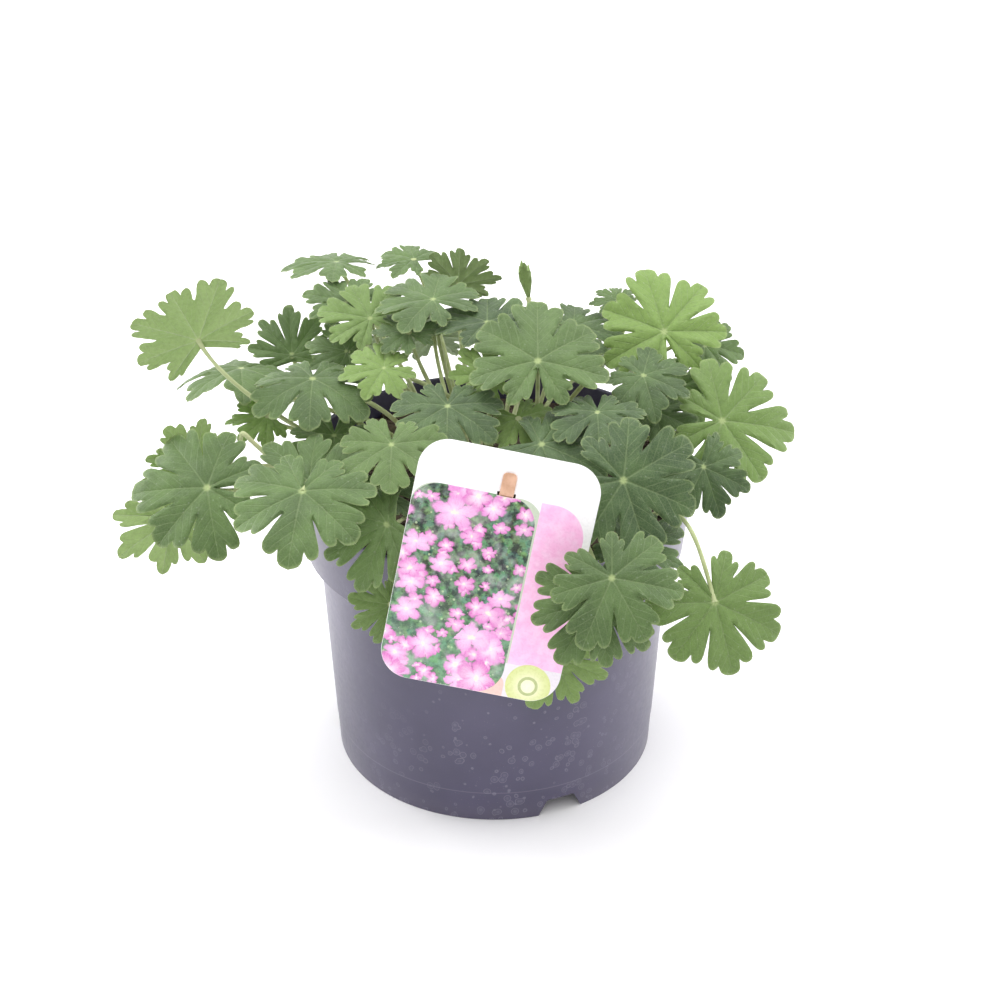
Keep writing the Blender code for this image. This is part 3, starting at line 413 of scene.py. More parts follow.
class Print(Graph):
    """The label's picture, drawn by formulas of the place on the card in millimetres."""

    def __init__(self, name):
        super().__init__(name)
        self.spot = self.node("Attribute", attribute_name="card_place", out=1)
        self.x, self.y, _ = self.split(self.spot)
        drift = self.noise(0.35, 3.0, 0.6, where=self.spot, out=1)
        drift = self.node("VectorMath", {0: drift, 1: (0.5, 0.5, 0.5)}, operation="SUBTRACT")
        drift = self.scaled(drift, 3.2)
        self.loose = self.node("VectorMath", {0: self.spot, 1: drift}, operation="ADD")

    def box(self, left, right, low, high, corner):
        """1 inside a rectangle with round corners and 0 outside it."""
        half_x, half_y = (right - left) / 2, (high - low) / 2
        qx = self.abs(self.sub(self.x, (left + right) / 2))
        qy = self.abs(self.sub(self.y, (low + high) / 2))
        qx = self.math("MAXIMUM", self.sub(qx, half_x - corner), 0.0)
        qy = self.math("MAXIMUM", self.sub(qy, half_y - corner), 0.0)
        return self.ramp(self.length(qx, qy), corner + 0.12, corner - 0.12)

    def flowers(self, ground, pitch, reach, shift, share, tints):
        """Five-petalled flowers, one in some of the cells of a loose lattice."""
        moved = self.node("VectorMath", {0: self.loose, 1: (shift, shift * 0.7, 0)}, operation="ADD")
        scaled = self.scaled(moved, 1.0 / pitch)
        cell = self.tree.nodes.new("ShaderNodeTexVoronoi")
        cell.voronoi_dimensions = "2D"
        self.tree.links.new(scaled, cell.inputs["Vector"])
        cell.inputs["Scale"].default_value = 1.0
        cell.inputs["Randomness"].default_value = 0.75
        away = self.node("VectorMath", {0: scaled, 1: cell.outputs["Position"]}, operation="SUBTRACT")
        dx, dy, _ = self.split(away)
        red, green, blue = self.node("SeparateColor", {0: cell.outputs["Color"]}).node.outputs
        dy = self.mul(dy, self.ramp(blue, 0.0, 1.0, 1.0, 1.5))
        r = self.length(dx, dy)
        turn = self.add(self.math("ARCTAN2", dy, dx), self.mul(red, 6.28))
        wave = self.math("POWER", self.abs(self.math("COSINE", self.mul(turn, 2.5))), 0.55)
        size = self.ramp(green, 0.0, 1.0, reach * 0.72, reach)
        limit = self.mul(size, self.add(0.45, self.mul(wave, 0.55)))
        level = self.math("DIVIDE", r, limit)
        shape = self.mul(self.ramp(level, 0.84, 1.12, 1.0, 0.0), self.math("LESS_THAN", red, share))
        petal = self.mix(self.ramp(level, 0.1, 1.0), tints[0], tints[1])
        petal = self.mix(self.mul(blue, 0.5), petal, tints[2])
        lines = self.ramp(self.abs(self.math("SINE", self.mul(turn, 20.0))), 0.0, 0.5, 0.35, 0.0)
        petal = self.mix(lines, petal, tints[3])
        petal = self.mix(self.ramp(wave, 0.0, 0.25, 0.45, 0.0), petal, tints[3])
        petal = self.mix(self.ramp(r, 0.03, 0.09, 0.9, 0.0), petal, rgb(248, 236, 214))
        return self.mix(shape, ground, petal)


def card_front_material():
    """White card with a picture of pink flowers, a pink band and a pale corner with a round mark."""
    g = Print("label_print")
    leafy = g.scaled(g.spot, 0.12)
    blots = g.noise(2.6, 4.0, 0.6, where=leafy)
    ground = g.mix(g.ramp(blots, 0.38, 0.62), rgb(50, 62, 54), rgb(112, 150, 112))
    spots = g.cells(3.4, out=1, where=leafy)
    ground = g.mix(0.28, ground, spots, "SOFT_LIGHT")
    ground = g.mix(g.ramp(g.cells(2.6, where=leafy), 0.10, 0.20, 0.7, 0.0), ground, rgb(196, 214, 168))
    ground = g.mix(g.ramp(g.y, -45, 0, 0.35, 0.0), ground, rgb(132, 186, 142))
    pinks = (rgb(248, 224, 242), rgb(226, 140, 208), rgb(242, 190, 230), rgb(202, 98, 174))
    deeper = (rgb(250, 222, 240), rgb(218, 112, 192), rgb(234, 158, 216), rgb(180, 70, 150))
    picture = ground
    for layer in ((6.2, 0.50, 71.0, 0.45, deeper), (9.0, 0.52, 3.0, 0.55, deeper),
                  (13.0, 0.54, 21.0, 0.50, pinks), (17.0, 0.52, 33.0, 0.50, deeper),
                  (24.0, 0.46, 52.0, 0.55, pinks)):
        picture = g.flowers(picture, *layer)
    buds = g.ramp(g.cells(4.8, where=leafy), 0.05, 0.12, 0.6, 0.0)
    picture = g.mix(buds, picture, rgb(236, 240, 212))
    haze = g.ramp(g.noise(1.1, 2.0, where=leafy), 0.45, 0.75, 0.0, 0.30)
    picture = g.mix(haze, picture, rgb(238, 236, 238))
    white = g.mix(g.ramp(g.noise(1.4, 2.0, where=leafy), 0.3, 0.7), rgb(244, 242, 244), rgb(250, 249, 250))
    sliver = g.box(-36.5, 16.0, -60, 31.6, 10.0)
    face = g.mix(sliver, white, rgb(196, 208, 186))
    band = g.mix(g.ramp(g.noise(2.0, 3.0, where=leafy), 0.3, 0.7), rgb(249, 184, 226), rgb(252, 204, 236))
    right = g.math("GREATER_THAN", g.x, 14.2)
    face = g.mix(g.mul(g.box(-30, 33.0, -90, 31.6, 13.0), right), face, band)
    slope = g.ramp(g.add(g.x, g.mul(g.y, 0.25)), 35.6, 36.0, 1.0, 0.0)
    face = g.mix(g.mul(g.mul(right, g.math("LESS_THAN", g.y, 12.0)), slope), face, band)
    corner = g.math("LESS_THAN", g.y, -35.5)
    face = g.mix(g.mul(corner, g.math("GREATER_THAN", g.x, 9.0)), face, rgb(231, 224, 232))
    face = g.mix(g.box(5.0, 14.5, -70, -41.0, 4.0), face, rgb(249, 200, 190))
    mark = g.length(g.sub(g.x, 24.0), g.add(g.y, 43.5))
    glow = g.mix(g.ramp(mark, 0.0, 9.0), rgb(246, 247, 214), rgb(214, 222, 150))
    face = g.mix(g.ramp(mark, 8.9, 9.2, 1.0, 0.0), face, glow)
    rings = g.ramp(g.abs(g.sub(mark, 3.4)), 0.45, 0.75, 0.7, 0.0)
    face = g.mix(rings, face, rgb(150, 166, 92))
    face = g.mix(g.box(-36.6, 13.4, -49.9, 31.6, 11.5), face, picture)
    return g.opaque(face, g.noise(900, 2.0), (0.24, 0.34), g.noise(60, 2.0), 0.08, 0.0008,
                    Coat_Weight=0.25, Coat_Roughness=0.15)


def card_back_material():
    """The bare white back and edge of the card."""
    g = Graph("label_back")
    cloud = g.noise(40, 3.0)
    base = g.mix(g.ramp(cloud, 0.3, 0.7), rgb(236, 235, 236), rgb(248, 248, 248))
    return g.opaque(base, g.noise(800, 2.0), (0.34, 0.46), cloud, 0.08, 0.0006)


def floor_material():
    """Plain pale studio floor."""
    g = Graph("studio_floor")
    cloud = g.noise(2.0, 3.0)
    base = g.mix(g.ramp(cloud, 0.3, 0.7), rgb(249, 248, 251), rgb(253, 252, 254))
    return g.opaque(base, g.noise(60, 2.0), (0.5, 0.62), cloud, 0.05, 0.001)


def link(ob):
    """Put an object into the scene."""
    bpy.context.scene.collection.objects.link(ob)


def face_outward(mesh):
    """Turn a closed mesh's faces outward."""
    bm = bmesh.new()
    bm.from_mesh(mesh)
    bmesh.ops.recalc_face_normals(bm, faces=bm.faces)
    bm.to_mesh(mesh)
    bm.free()


def on_pot(radius, turn, z):
    """A point by its distance from the pot axis, its turn about it and its height."""
    return AXIS + Vector((radius * cos(turn), radius * sin(turn), z))


def skin_rings(rings, faces):
    """Close a row of rings into a solid: two end caps and the quads between."""
    faces.append(list(reversed(rings[0])))
    faces.append(rings[-1])
    for low, high in zip(rings, rings[1:]):
        for q in range(len(low)):
            w = (q + 1) % len(low)
            faces.append([low[q], low[w], high[w], high[q]])


def make_piece(name, verts, faces, mats, node, picks=None, sharp=40.0):
    """A mesh in millimetres as a piece that stands for a CAD node."""
    mesh = bpy.data.meshes.new(name)
    mesh.from_pydata([Vector(v) * MM for v in verts], [], faces)
    for mat in mats:
        mesh.materials.append(mat)
    if picks is not None:
        mesh.polygons.foreach_set("material_index", picks)
    mesh.update()
    piece = bpy.data.objects.new(name, mesh)
    link(piece)
    finish_piece(piece, node, sharp)
    return piece


def finish_piece(piece, node, sharp=40.0):
    """Smooth shading with sharp edges kept, the piece put under the root body and its node hidden."""
    mesh = piece.data
    for poly in mesh.polygons:
        poly.use_smooth = True
    mesh.set_sharp_from_angle(angle=radians(sharp))
    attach(piece, "root")
    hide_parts(node)


def add_vectors(mesh, name, values):
    layer = mesh.attributes.new(name, "FLOAT_VECTOR", "POINT")
    layer.data.foreach_set("vector", np.asarray(values, dtype=np.float32).ravel())


def triangulate(loops, inner):
    """Triangles inside closed outlines, the first the outer one, with more points inside."""
    points, edges, faces = [], [], []
    for loop in loops:
        start = len(points)
        points += [Vector(p) for p in loop]
        ids = list(range(start, len(points)))
        edges += list(zip(ids, ids[1:] + ids[:1]))
        if start == 0:
            faces.append(ids)
    points += [Vector(p) for p in inner]
    out = delaunay_2d_cdt(points, edges, faces, 1, 1e-5)
    verts, tris = out[0], [list(f) for f in out[2]]
    for hole in loops[1:]:
        middles = np.array([tuple(sum((verts[i] for i in f), Vector((0, 0))) / 3) for f in tris])
        filled = inside(middles, np.array(hole))
        tris = [f for f, gone in zip(tris, filled) if not gone]
    for f in tris:
        a, b, c = (verts[i] for i in f)
        if (b - a).cross(c - a) < 0:
            f.reverse()
    used = sorted({i for f in tris for i in f})
    renew = {old: new for new, old in enumerate(used)}
    flat = np.array([tuple(verts[i]) for i in used])
    return flat, [[renew[i] for i in f] for f in tris]


def rim_edges(tris):
    """Directed edges that only one triangle uses."""
    seen = {}
    for f in tris:
        for a, b in zip(f, f[1:] + f[:1]):
            seen[(a, b)] = seen.get((a, b), 0) + 1
    return [(a, b) for (a, b) in seen if (b, a) not in seen]


def read_leaf(node, heading):
    """Heart, axes and stalk centre line of a packed leaf, in millimetres."""
    bm = bmesh.new()
    bm.from_mesh(node.data)
    bmesh.ops.remove_doubles(bm, verts=bm.verts, dist=2e-5)
    bm.verts.ensure_lookup_table()
    co = np.array([v.co for v in bm.verts]) / MM
    near = [[e.other_vert(v).index for e in v.link_edges] for v in bm.verts]
    bm.free()
    away = co[None, :, :] - co[:, None, :]
    gap = np.linalg.norm(away, axis=2)
    pairs = np.argwhere(np.abs(gap - SOLID_BLADE) < 0.02)
    dirs = np.array([away[i, j] / gap[i, j] for i, j in pairs])
    votes = (np.abs(dirs @ dirs.T) > 0.999).sum(axis=1)
    normal = dirs[votes.argmax()]
    paired = {int(i) for (i, j), d in zip(pairs, dirs) if abs(d @ normal) > 0.998}
    lone = [i for i in range(len(co)) if i not in paired]
    top = next(i for i in lone if not any(j in near[i] for j in lone))
    hops = {top: 0}
    line = [top]
    for i in line:
        for j in near[i]:
            if j not in hops:
                hops[j] = hops[i] + 1
                line.append(j)
    stem = [i for i in lone if i != top]
    far = max(stem, key=lambda i: hops[i])
    ring = sorted(stem, key=lambda i: gap[far, i])[:4]
    rings, seen = [], set()
    while ring:
        rings.append(ring)
        seen.update(ring)
        ring = sorted({j for i in ring for j in near[i] if j in stem and j not in seen})
    if [len(r) for r in rings] != [4] * 7:
        raise ValueError(node.name + " has stalk rings " + str([len(r) for r in rings]))
    centres = [Vector(co[r].mean(axis=0)) for r in rings]
    face = (Vector(co[top]) - centres[-1]).normalized()
    heart = centres[-1] + face * (SOLID_BLADE / 2)
    he, pitch = radians(heading), radians(VIEW_PITCH)
    wanted = Vector((cos(he), sin(he) * sin(pitch), sin(he) * cos(pitch)))
    sight = Vector((0, cos(pitch), -sin(pitch)))
    square = sight.dot(face)
    if abs(square) > 0.25:
        ahead = wanted - sight * (wanted.dot(face) / square)
    else:
        ahead = wanted - face * wanted.dot(face)
    ahead.normalize()
    return heart, face.cross(ahead), ahead, face, centres


def stalk_line(centres, count):
    """Points along a stalk: straight in the soil, then the same arch that the solid samples."""
    p0, p3 = np.array(centres[1]), np.array(centres[6])
    ts = np.array([0.2, 0.4, 0.6, 0.8])
    mid = np.array([tuple(c) for c in centres[2:6]])
    rest = mid - np.outer((1 - ts) ** 3, p0) - np.outer(ts ** 3, p3)
    table = np.stack([3 * (1 - ts) ** 2 * ts, 3 * (1 - ts) * ts ** 2], axis=1)
    p1, p2 = np.linalg.lstsq(table, rest, rcond=None)[0]
    line = [Vector(centres[0]), Vector(centres[0]).lerp(Vector(centres[1]), 0.5)]
    for i in range(count + 1):
        t = i / count
        s = 1 - t
        line.append(Vector(p0 * s ** 3 + p1 * 3 * s * s * t + p2 * 3 * s * t * t + p3 * t ** 3))
    return line


def tube(line, radii, sides, verts, faces):
    """Add a closed round tube along a line to a mesh in the making. Returns its ring frames."""
    tangent = (line[1] - line[0]).normalized()
    across = tangent.orthogonal().normalized()
    frames, rings = [], []
    for i, p in enumerate(line):
        new = (line[min(i + 1, len(line) - 1)] - line[max(i - 1, 0)]).normalized()
        across = tangent.rotation_difference(new) @ across
        across = (across - new * across.dot(new)).normalized()
        tangent = new
        other = new.cross(across)
        rings.append(list(range(len(verts), len(verts) + sides)))
        for q in range(sides):
            a = 2 * pi * q / sides
            verts.append(p + (across * cos(a) + other * sin(a)) * radii[i])
        frames.append((across, other, new))
    skin_rings(rings, faces)
    return frames


def hair(verts, faces, root, way, length, width):
    """A closed three-sided spike whose foot lies just inside what it grows from."""
    across = way.orthogonal().normalized() * width
    other = way.cross(across).normalized() * width
    base = root - way * 0.1
    start = len(verts)
    for q in range(3):
        a = 2 * pi * q / 3
        verts.append(base + across * cos(a) + other * sin(a))
    verts.append(root + way * length)
    faces += [[start, start + 2, start + 1], [start, start + 1, start + 3],
              [start + 1, start + 2, start + 3], [start + 2, start, start + 3]]


def blade_outline(spec, seed, rng):
    """Angle (degrees, before the spread) and length of points round a blade."""
    radius, full = spec[0], spec[5]
    points = [(-180.0, HEART_CUT * radius)]
    if spec[4] < FOLDED_SPREAD:
        return points + [(a, radius * (0.4 + 0.6 * cos(radians(a / 2)))) for a in range(-170, 171, 10)]
    slim = rng.uniform(0.0, SLIM_PLAY)
    cut = CUT_DEPTH + (JOINED if spec[2] > CUPPED_DROOP and full else rng.uniform(0.0, CUT_PLAY))
    for k, (middle, share) in enumerate(LOBES):
        length = share * radius * (1 + 0.05 * sin(2.1 * seed + 3.7 * k))
        if k:
            points.append((CUTS[k], cut * radius * rng.uniform(0.92, 1.08)))
        half_lobe = FULL_LOBE if full and 0 < k < 6 else PLAIN_LOBE
        low, high = middle - CUTS[k], CUTS[k + 1] - middle
        for sign, half in ((1, low), (-1, high)):
            deep, shift = rng.uniform(-0.4, 0.5), rng.uniform(-0.07, 0.07)
            tooth = []
            for f, r in half_lobe:
                if r < cut + 0.08:
                    continue
                f2 = f * (1 - slim) + shift * math.exp(-((f + 0.45) / 0.25) ** 2)
                dip = 0.055 * deep * math.exp(-((f + 0.43) / 0.06) ** 2)
                tooth.append((middle + sign * f2 * half, (r - dip) * length))
            if sign > 0:
                points += tooth + [(middle, 1.005 * length)]
            else:
                points += tooth[::-1]
    return points


def lobe_share(angle):
    """Lobe index of each angle and how far it is from the lobe's middle to its cut."""
    k = np.clip(np.searchsorted(CUTS, angle) - 1, 0, 6)
    cuts, mids = np.array(CUTS, float), np.array([m for m, _ in LOBES], float)
    middle = mids[k]
    half = np.where(angle < middle, middle - cuts[k], cuts[k + 1] - middle)
    return k, np.minimum(1.0, np.abs(angle - middle) / half), cuts[k], cuts[k + 1], middle


def relief(angle, reach, radius, droop, fold, seed):
    """Height of a blade over its flat plane, as in the solids."""
    angle = np.clip(angle, -180, 180)
    k, share, low, high, _ = lobe_share(angle)
    lifts = 0.10 * np.sin(1.7 * seed + 2.3 * np.arange(8))
    lift = lifts[k] + (lifts[k + 1] - lifts[k]) * (angle - low) / (high - low)
    return radius * reach * (droop * reach + lift * reach + fold * share)


def even_angle(angle):
    """The angle moved so that the seven lobes stand evenly, for the veins in the material."""
    known = [-180, *[v for k in range(7) for v in (CUTS[k], LOBES[k][0])], CUTS[7], 180]
    step = 360 / 7
    even = [-180, *[v for k in range(7) for v in ((k - 3.5) * step + 0.01, (k - 3) * step)],
            3.5 * step - 0.01, 180]
    return np.interp(angle, known, even)


def blade_mesh(loop, radius, spread, rng):
    """Flat triangles inside a blade's outline, with rows of points along its veins."""
    ring = np.array(loop)
    pitch = 1.45 if radius > 22 else 1.25
    veins = []
    inner = []
    for middle, share in LOBES:
        a = radians(middle * spread)
        way, off = np.array((sin(a), cos(a))), np.array((cos(a), -sin(a)))
        veins.append((way, off))
        r = 2.2
        while r < 0.93 * share * radius:
            inner.append(way * r)
            if r * sin(radians(25 * spread)) > 1.3:
                inner += [way * r + off * 0.5, way * r - off * 0.5]
            r += 1.6
    grid = []
    steps = int(radius * 1.1 / pitch) + 1
    for i in range(-steps, steps + 1):
        for j in range(-steps, steps + 1):
            grid.append(((i + 0.5 * (j % 2)) * pitch + rng.uniform(-0.15, 0.15),
                         j * pitch * 0.866 + rng.uniform(-0.15, 0.15)))
    grid = np.array(grid)
    for way, off in veins:
        grid = grid[~((grid @ way > 0) & (np.abs(grid @ off) < VEIN_CLEARANCE))]
    points = np.concatenate([np.array(inner), grid])
    keep = inside(points, ring) & (distance_to(points, ring) > 0.42 * pitch)
    return (*triangulate([loop], points[keep]), veins)


def blade_heights(flat, veins, polar, spec, seed):
    """Heights of a blade's two sides over its flat plane, and each point's place for the veins."""
    radius, _, droop, fold, spread = spec[:5]
    r = np.hypot(flat[:, 0], flat[:, 1])
    narrow = np.clip(np.degrees(np.arctan2(flat[:, 0], flat[:, 1])) / spread, -180, 180)
    reach = r / radius
    limits = np.array(sorted(polar))
    edge = np.clip(r / np.interp(narrow, limits[:, 0], limits[:, 1]), 0, 1)
    groove = np.zeros(len(flat))
    for way, off in veins:
        line = np.where(flat @ way > 0, np.exp(-(flat @ off / VEIN_WIDTH) ** 2), 0)
        groove = np.maximum(groove, line)
    groove *= 1 - 0.6 * reach
    psi = np.radians(even_angle(narrow))
    turn = np.abs((psi + pi / 7) % (2 * pi / 7) - pi / 7)
    branch = reach * np.cos(turn) - VEIN_SLANT * reach * np.sin(turn)
    pucker = np.cos(2 * pi * branch / VEIN_STEP) * -PUCKER * np.clip(reach * 2.4 - 0.4, 0, 1)
    ripple = np.array([noise.noise(Vector((px * 0.13, py * 0.13, seed))) for px, py in flat])
    _, share, _, _, middle = lobe_share(narrow)
    z = relief(narrow, reach, radius, droop, fold, seed) + pucker
    z = z + ripple * RIPPLE * reach - CURL * radius * edge ** 6 + CREASE * radius * reach * share
    z = z + TWIST * radius * reach ** 2 * np.sin(1.3 * middle + seed) * (narrow - middle) / 26
    thick = BLADE_T / 2 * (1 - 0.55 * edge ** 10)
    place = np.stack([np.sin(psi) * reach, np.cos(psi) * reach, edge], axis=1)
    return z + thick - GROOVE_TOP * groove, z - thick - GROOVE_UNDER * groove, place


def build_leaf(name, spec, mats):
    """One leaf: blade with two sides, round stalk and hairs."""
    node_name = "leaf_" + name
    radius, heading, _, _, spread, _, young = spec
    seed = sum(ord(c) for c in node_name)
    rng = random.Random(seed)
    heart, side, ahead, face, centres = read_leaf(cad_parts[node_name], heading)
    polar = blade_outline(spec, seed, rng)
    loop = []
    for angle, length in polar:
        a = radians(angle * (spread if abs(angle) < 180 else 1))
        loop.append((sin(a) * length, cos(a) * length))
    loop = [p for i, p in enumerate(loop) if math.dist(p, loop[i - 1]) > 0.08]
    flat, tris, veins = blade_mesh(loop, radius, spread, rng)
    top, under, place = blade_heights(flat, veins, polar, spec, seed)

    origin, s, h, f = (np.array(v) for v in (heart, side, ahead, face))
    plane = origin + np.outer(flat[:, 0], s) + np.outer(flat[:, 1], h)
    upper, lower = plane + np.outer(top, f), plane + np.outer(under, f)
    n = len(flat)
    verts = [Vector(p) for p in upper] + [Vector(p) for p in lower]
    rim = rim_edges(tris)
    # the plane's x runs along side and y ahead, and side x ahead points against the face
    faces = [t[::-1] for t in tris] + [[n + i for i in t] for t in tris]
    faces += [[a, b, n + b, n + a] for a, b in rim]
    picks = [0] * len(tris) + [1] * len(tris) + [0] * len(rim)
    places = list(np.concatenate([place, place]))

    line = stalk_line(centres, STALK_STEPS)
    line[-1] = heart - face * (BLADE_T / 2 + 0.45)
    line.append(heart - face * 0.05)
    count = len(line)
    radii = []
    for i in range(count):
        t = max(0.0, (i - 2) / (count - 3))
        radii.append((STALK_FOOT - STALK_TAPER * t) * (1 + 0.04 * sin(5.1 * i + seed)) + 0.55 * t ** 18)
    start = len(faces)
    frames = tube(line, radii, STALK_SIDES, verts, faces)
    picks += [2] * (len(faces) - start)
    up_stalk = [(0, 0, i / count) for i in range(count) for _ in range(STALK_SIDES)]

    start, hair_from = len(faces), len(verts)
    for a, _ in rim:
        if rng.random() < RIM_HAIR_SHARE:
            p = (Vector(upper[a]) + Vector(lower[a])) / 2
            way = (p - heart).normalized() + Vector([rng.uniform(-0.5, 0.5) for _ in range(3)])
            hair(verts, faces, p, way.normalized(), rng.uniform(0.35, 0.8), 0.035)
    for i in range(4, count - 3):
        across, other, _ = frames[i]
        for _ in range(STALK_HAIRS):
            a = rng.uniform(0, 2 * pi)
            way = across * cos(a) + other * sin(a)
            hair(verts, faces, line[i] + way * radii[i] * 0.95, way, rng.uniform(0.3, 0.6), 0.03)
    for _ in range(FACE_HAIRS):
        i = rng.randrange(n)
        way = face + Vector([rng.uniform(-0.4, 0.4) for _ in range(3)])
        hair(verts, faces, Vector(upper[i]), way.normalized(), rng.uniform(0.2, 0.4), 0.025)
    picks += [3] * (len(faces) - start)
    hair_verts = len(verts) - hair_from

    piece = make_piece("detail_" + node_name, verts, faces, mats, node_name, picks, 55.0)
    odd = rng.random()
    tones = [(young, odd, 0.0)] * (2 * n) + [(young, odd, t) for _, _, t in up_stalk]
    add_vectors(piece.data, "leaf_place", places + up_stalk + [(0, 0, 0)] * hair_verts)
    add_vectors(piece.data, "leaf_tone", tones + [(young, odd, 0.0)] * hair_verts)


def inside(points, ring):
    """Which points lie inside a closed ring."""
    x, y = points[:, 0:1], points[:, 1:2]
    ax, ay = ring[:, 0], ring[:, 1]
    bx, by = np.roll(ax, -1), np.roll(ay, -1)
    crosses = ((ay > y) != (by > y)) & (x < (bx - ax) * (y - ay) / (by - ay + 1e-12) + ax)
    return crosses.sum(axis=1) % 2 == 1


def distance_to(points, ring):
    """Distance from each point to a closed ring."""
    a, b = ring, np.roll(ring, -1, axis=0)
    d = b - a
    rel = points[:, None, :] - a[None, :, :]
    t = np.clip((rel * d).sum(axis=2) / ((d * d).sum(axis=1) + 1e-12), 0, 1)
    return np.linalg.norm(rel - t[:, :, None] * d, axis=2).min(axis=1)


def spun(profile, segments):
    """Points and faces of a profile spun about the pot's axis; its ends lie on the axis."""
    verts, faces, rings = [], [], []
    for radius, z in profile:
        if radius == 0:
            verts.append(AXIS + Vector((0, 0, z)))
            rings.append([len(verts) - 1] * segments)
            continue
        rings.append(list(range(len(verts), len(verts) + segments)))
        for i in range(segments):
            verts.append(on_pot(radius, 2 * pi * i / segments, z))
    for low, high in zip(rings, rings[1:]):
        for i in range(segments):
            j = (i + 1) % segments
            quad = [low[i], low[j], high[j], high[i]]
            faces.append([v for k, v in enumerate(quad) if v not in quad[:k]][::-1])
    return verts, faces


def rounded(profile, sizes):
    """The profile with some corners turned into small arcs: index -> size."""
    out = []
    for i, p in enumerate(profile):
        size = sizes.get(i, 0)
        if not size:
            out.append(p)
            continue
        p, before, after = (Vector(q) for q in (p, profile[i - 1], profile[i + 1]))
        a = p + (before - p).normalized() * size
        b = p + (after - p).normalized() * size
        for t in (0.0, 0.25, 0.5, 0.75, 1.0):
            q = a * (1 - t) ** 2 + p * 2 * t * (1 - t) + b * t * t
            out.append((q.x, q.y))
    return out


def prism_cutter(shape, near, far):
    """A prism between two places of one flat shape, to cut with."""
    n = len(shape)
    mesh = bpy.data.meshes.new("cutter")
    verts = [near(p) * MM for p in shape] + [far(p) * MM for p in shape]
    faces = [list(range(n)), list(range(2 * n - 1, n - 1, -1))]
    faces += [[i, n + i, n + (i + 1) % n, (i + 1) % n] for i in range(n)]
    mesh.from_pydata(verts, [], faces)
    face_outward(mesh)
    return bpy.data.objects.new("cutter", mesh)


def cut_away(ob, cutters):
    """Cut all the prisms from an object and drop them."""
    group = bpy.data.collections.new("cutters")
    bpy.context.scene.collection.children.link(group)
    for cutter in cutters:
        group.objects.link(cutter)
    mod = ob.modifiers.new("cut", "BOOLEAN")
    mod.operation, mod.solver = "DIFFERENCE", "EXACT"
    mod.operand_type, mod.collection = "COLLECTION", group
    depsgraph = bpy.context.evaluated_depsgraph_get()
    mesh = bpy.data.meshes.new_from_object(ob.evaluated_get(depsgraph))
    ob.modifiers.clear()
    ob.data = mesh
    for cutter in cutters:
        bpy.data.objects.remove(cutter, do_unlink=True)
    bpy.data.collections.remove(group)


def build_pot(mat):
    """The pot again with fine rounding, a faint ring above the floor, notches and drain holes."""
    profile = ((0, 14), (68.9, 14), (74.1, 102.3), (79.8, 102.3), (82.9, 133.7), (83.3, 134.5),
               (84.7, 134.5), (85, 134.1), (85, 132.6), (84.2, 132.2), (81, 101), (75.3, 101),
               (70.45, 15.6), (70.2, 15.0), (69.4, 0), (67.9, 0), (68.4, 12.6), (0, 12.6))
    profile = rounded(profile, {1: 2.5, 2: 1.5, 3: 1.0, 5: 0.3, 6: 0.3, 7: 0.25, 9: 0.5, 10: 0.9, 11: 1.2,
                                14: 0.4, 15: 0.4, 16: 1.2})
    verts, faces = spun(profile, POT_SIDES)
    mesh = bpy.data.meshes.new("detail_pot")
    mesh.from_pydata([v * MM for v in verts], [], faces)
    face_outward(mesh)
    pot = bpy.data.objects.new("detail_pot", mesh)
    link(pot)
    cutters = []
    notch = ((-10.5, -1), (10.5, -1), (6.5, 7.4), (5.6, 8.0), (-5.6, 8.0), (-6.5, 7.4))
    for angle in NOTCH_TURNS:
        out = Vector((cos(radians(angle)), sin(radians(angle)), 0))
        side = Vector((-out.y, out.x, 0))
        cutters.append(prism_cutter(
            notch, lambda p: AXIS + out * 58 + side * p[0] + Vector((0, 0, p[1])),
            lambda p: AXIS + out * 76 + side * p[0] + Vector((0, 0, p[1]))))
    around = [radians(12 * i) for i in range(30)]
    round_hole = [(DRAIN_RADIUS * cos(a), DRAIN_RADIUS * sin(a)) for a in around]
    for k in range(DRAIN_HOLES):
        middle = on_pot(DRAIN_REACH, radians(15 + 360 / DRAIN_HOLES * k), 0)
        cutters.append(prism_cutter(round_hole, lambda p: middle + Vector((p[0], p[1], 10)),
                                    lambda p: middle + Vector((p[0], p[1], 16))))
    cut_away(pot, cutters)
    pot.data.materials.clear()
    pot.data.materials.append(mat)
    pot.data.polygons.foreach_set("material_index", [0] * len(pot.data.polygons))
    finish_piece(pot, "pot", 32.0)


def soil_height(x, y):
    """Height of the smooth soil surface at a place from the pot axis."""
    return float(np.interp(math.hypot(x, y), [r for r, _ in SOIL_TOP], [z for _, z in SOIL_TOP]))


def lump(verts, faces, centre, size, rng, flat=0.75):
    """A small closed irregular crumb."""
    bm = bmesh.new()
    bmesh.ops.create_icosphere(bm, subdivisions=1, radius=1.0)
    spin = Matrix.Rotation(rng.uniform(0, 6.28), 3, "Z") @ Matrix.Rotation(rng.uniform(0, 6.28), 3, "X")
    stretch = Vector((rng.uniform(0.7, 1.4), rng.uniform(0.7, 1.2), rng.uniform(0.5, 1.0)))
    shift = Vector([rng.uniform(0, 50) for _ in range(3)])
    start = len(verts)
    for v in bm.verts:
        p = v.co * (1 + 0.45 * noise.noise(v.co * 1.3 + shift))
        p = spin @ Vector((p.x * stretch.x, p.y * stretch.y, p.z * stretch.z))
        verts.append(centre + Vector((p.x, p.y, p.z * flat)) * size)
    faces += [[start + v.index for v in f.verts] for f in bm.faces]
    bm.free()


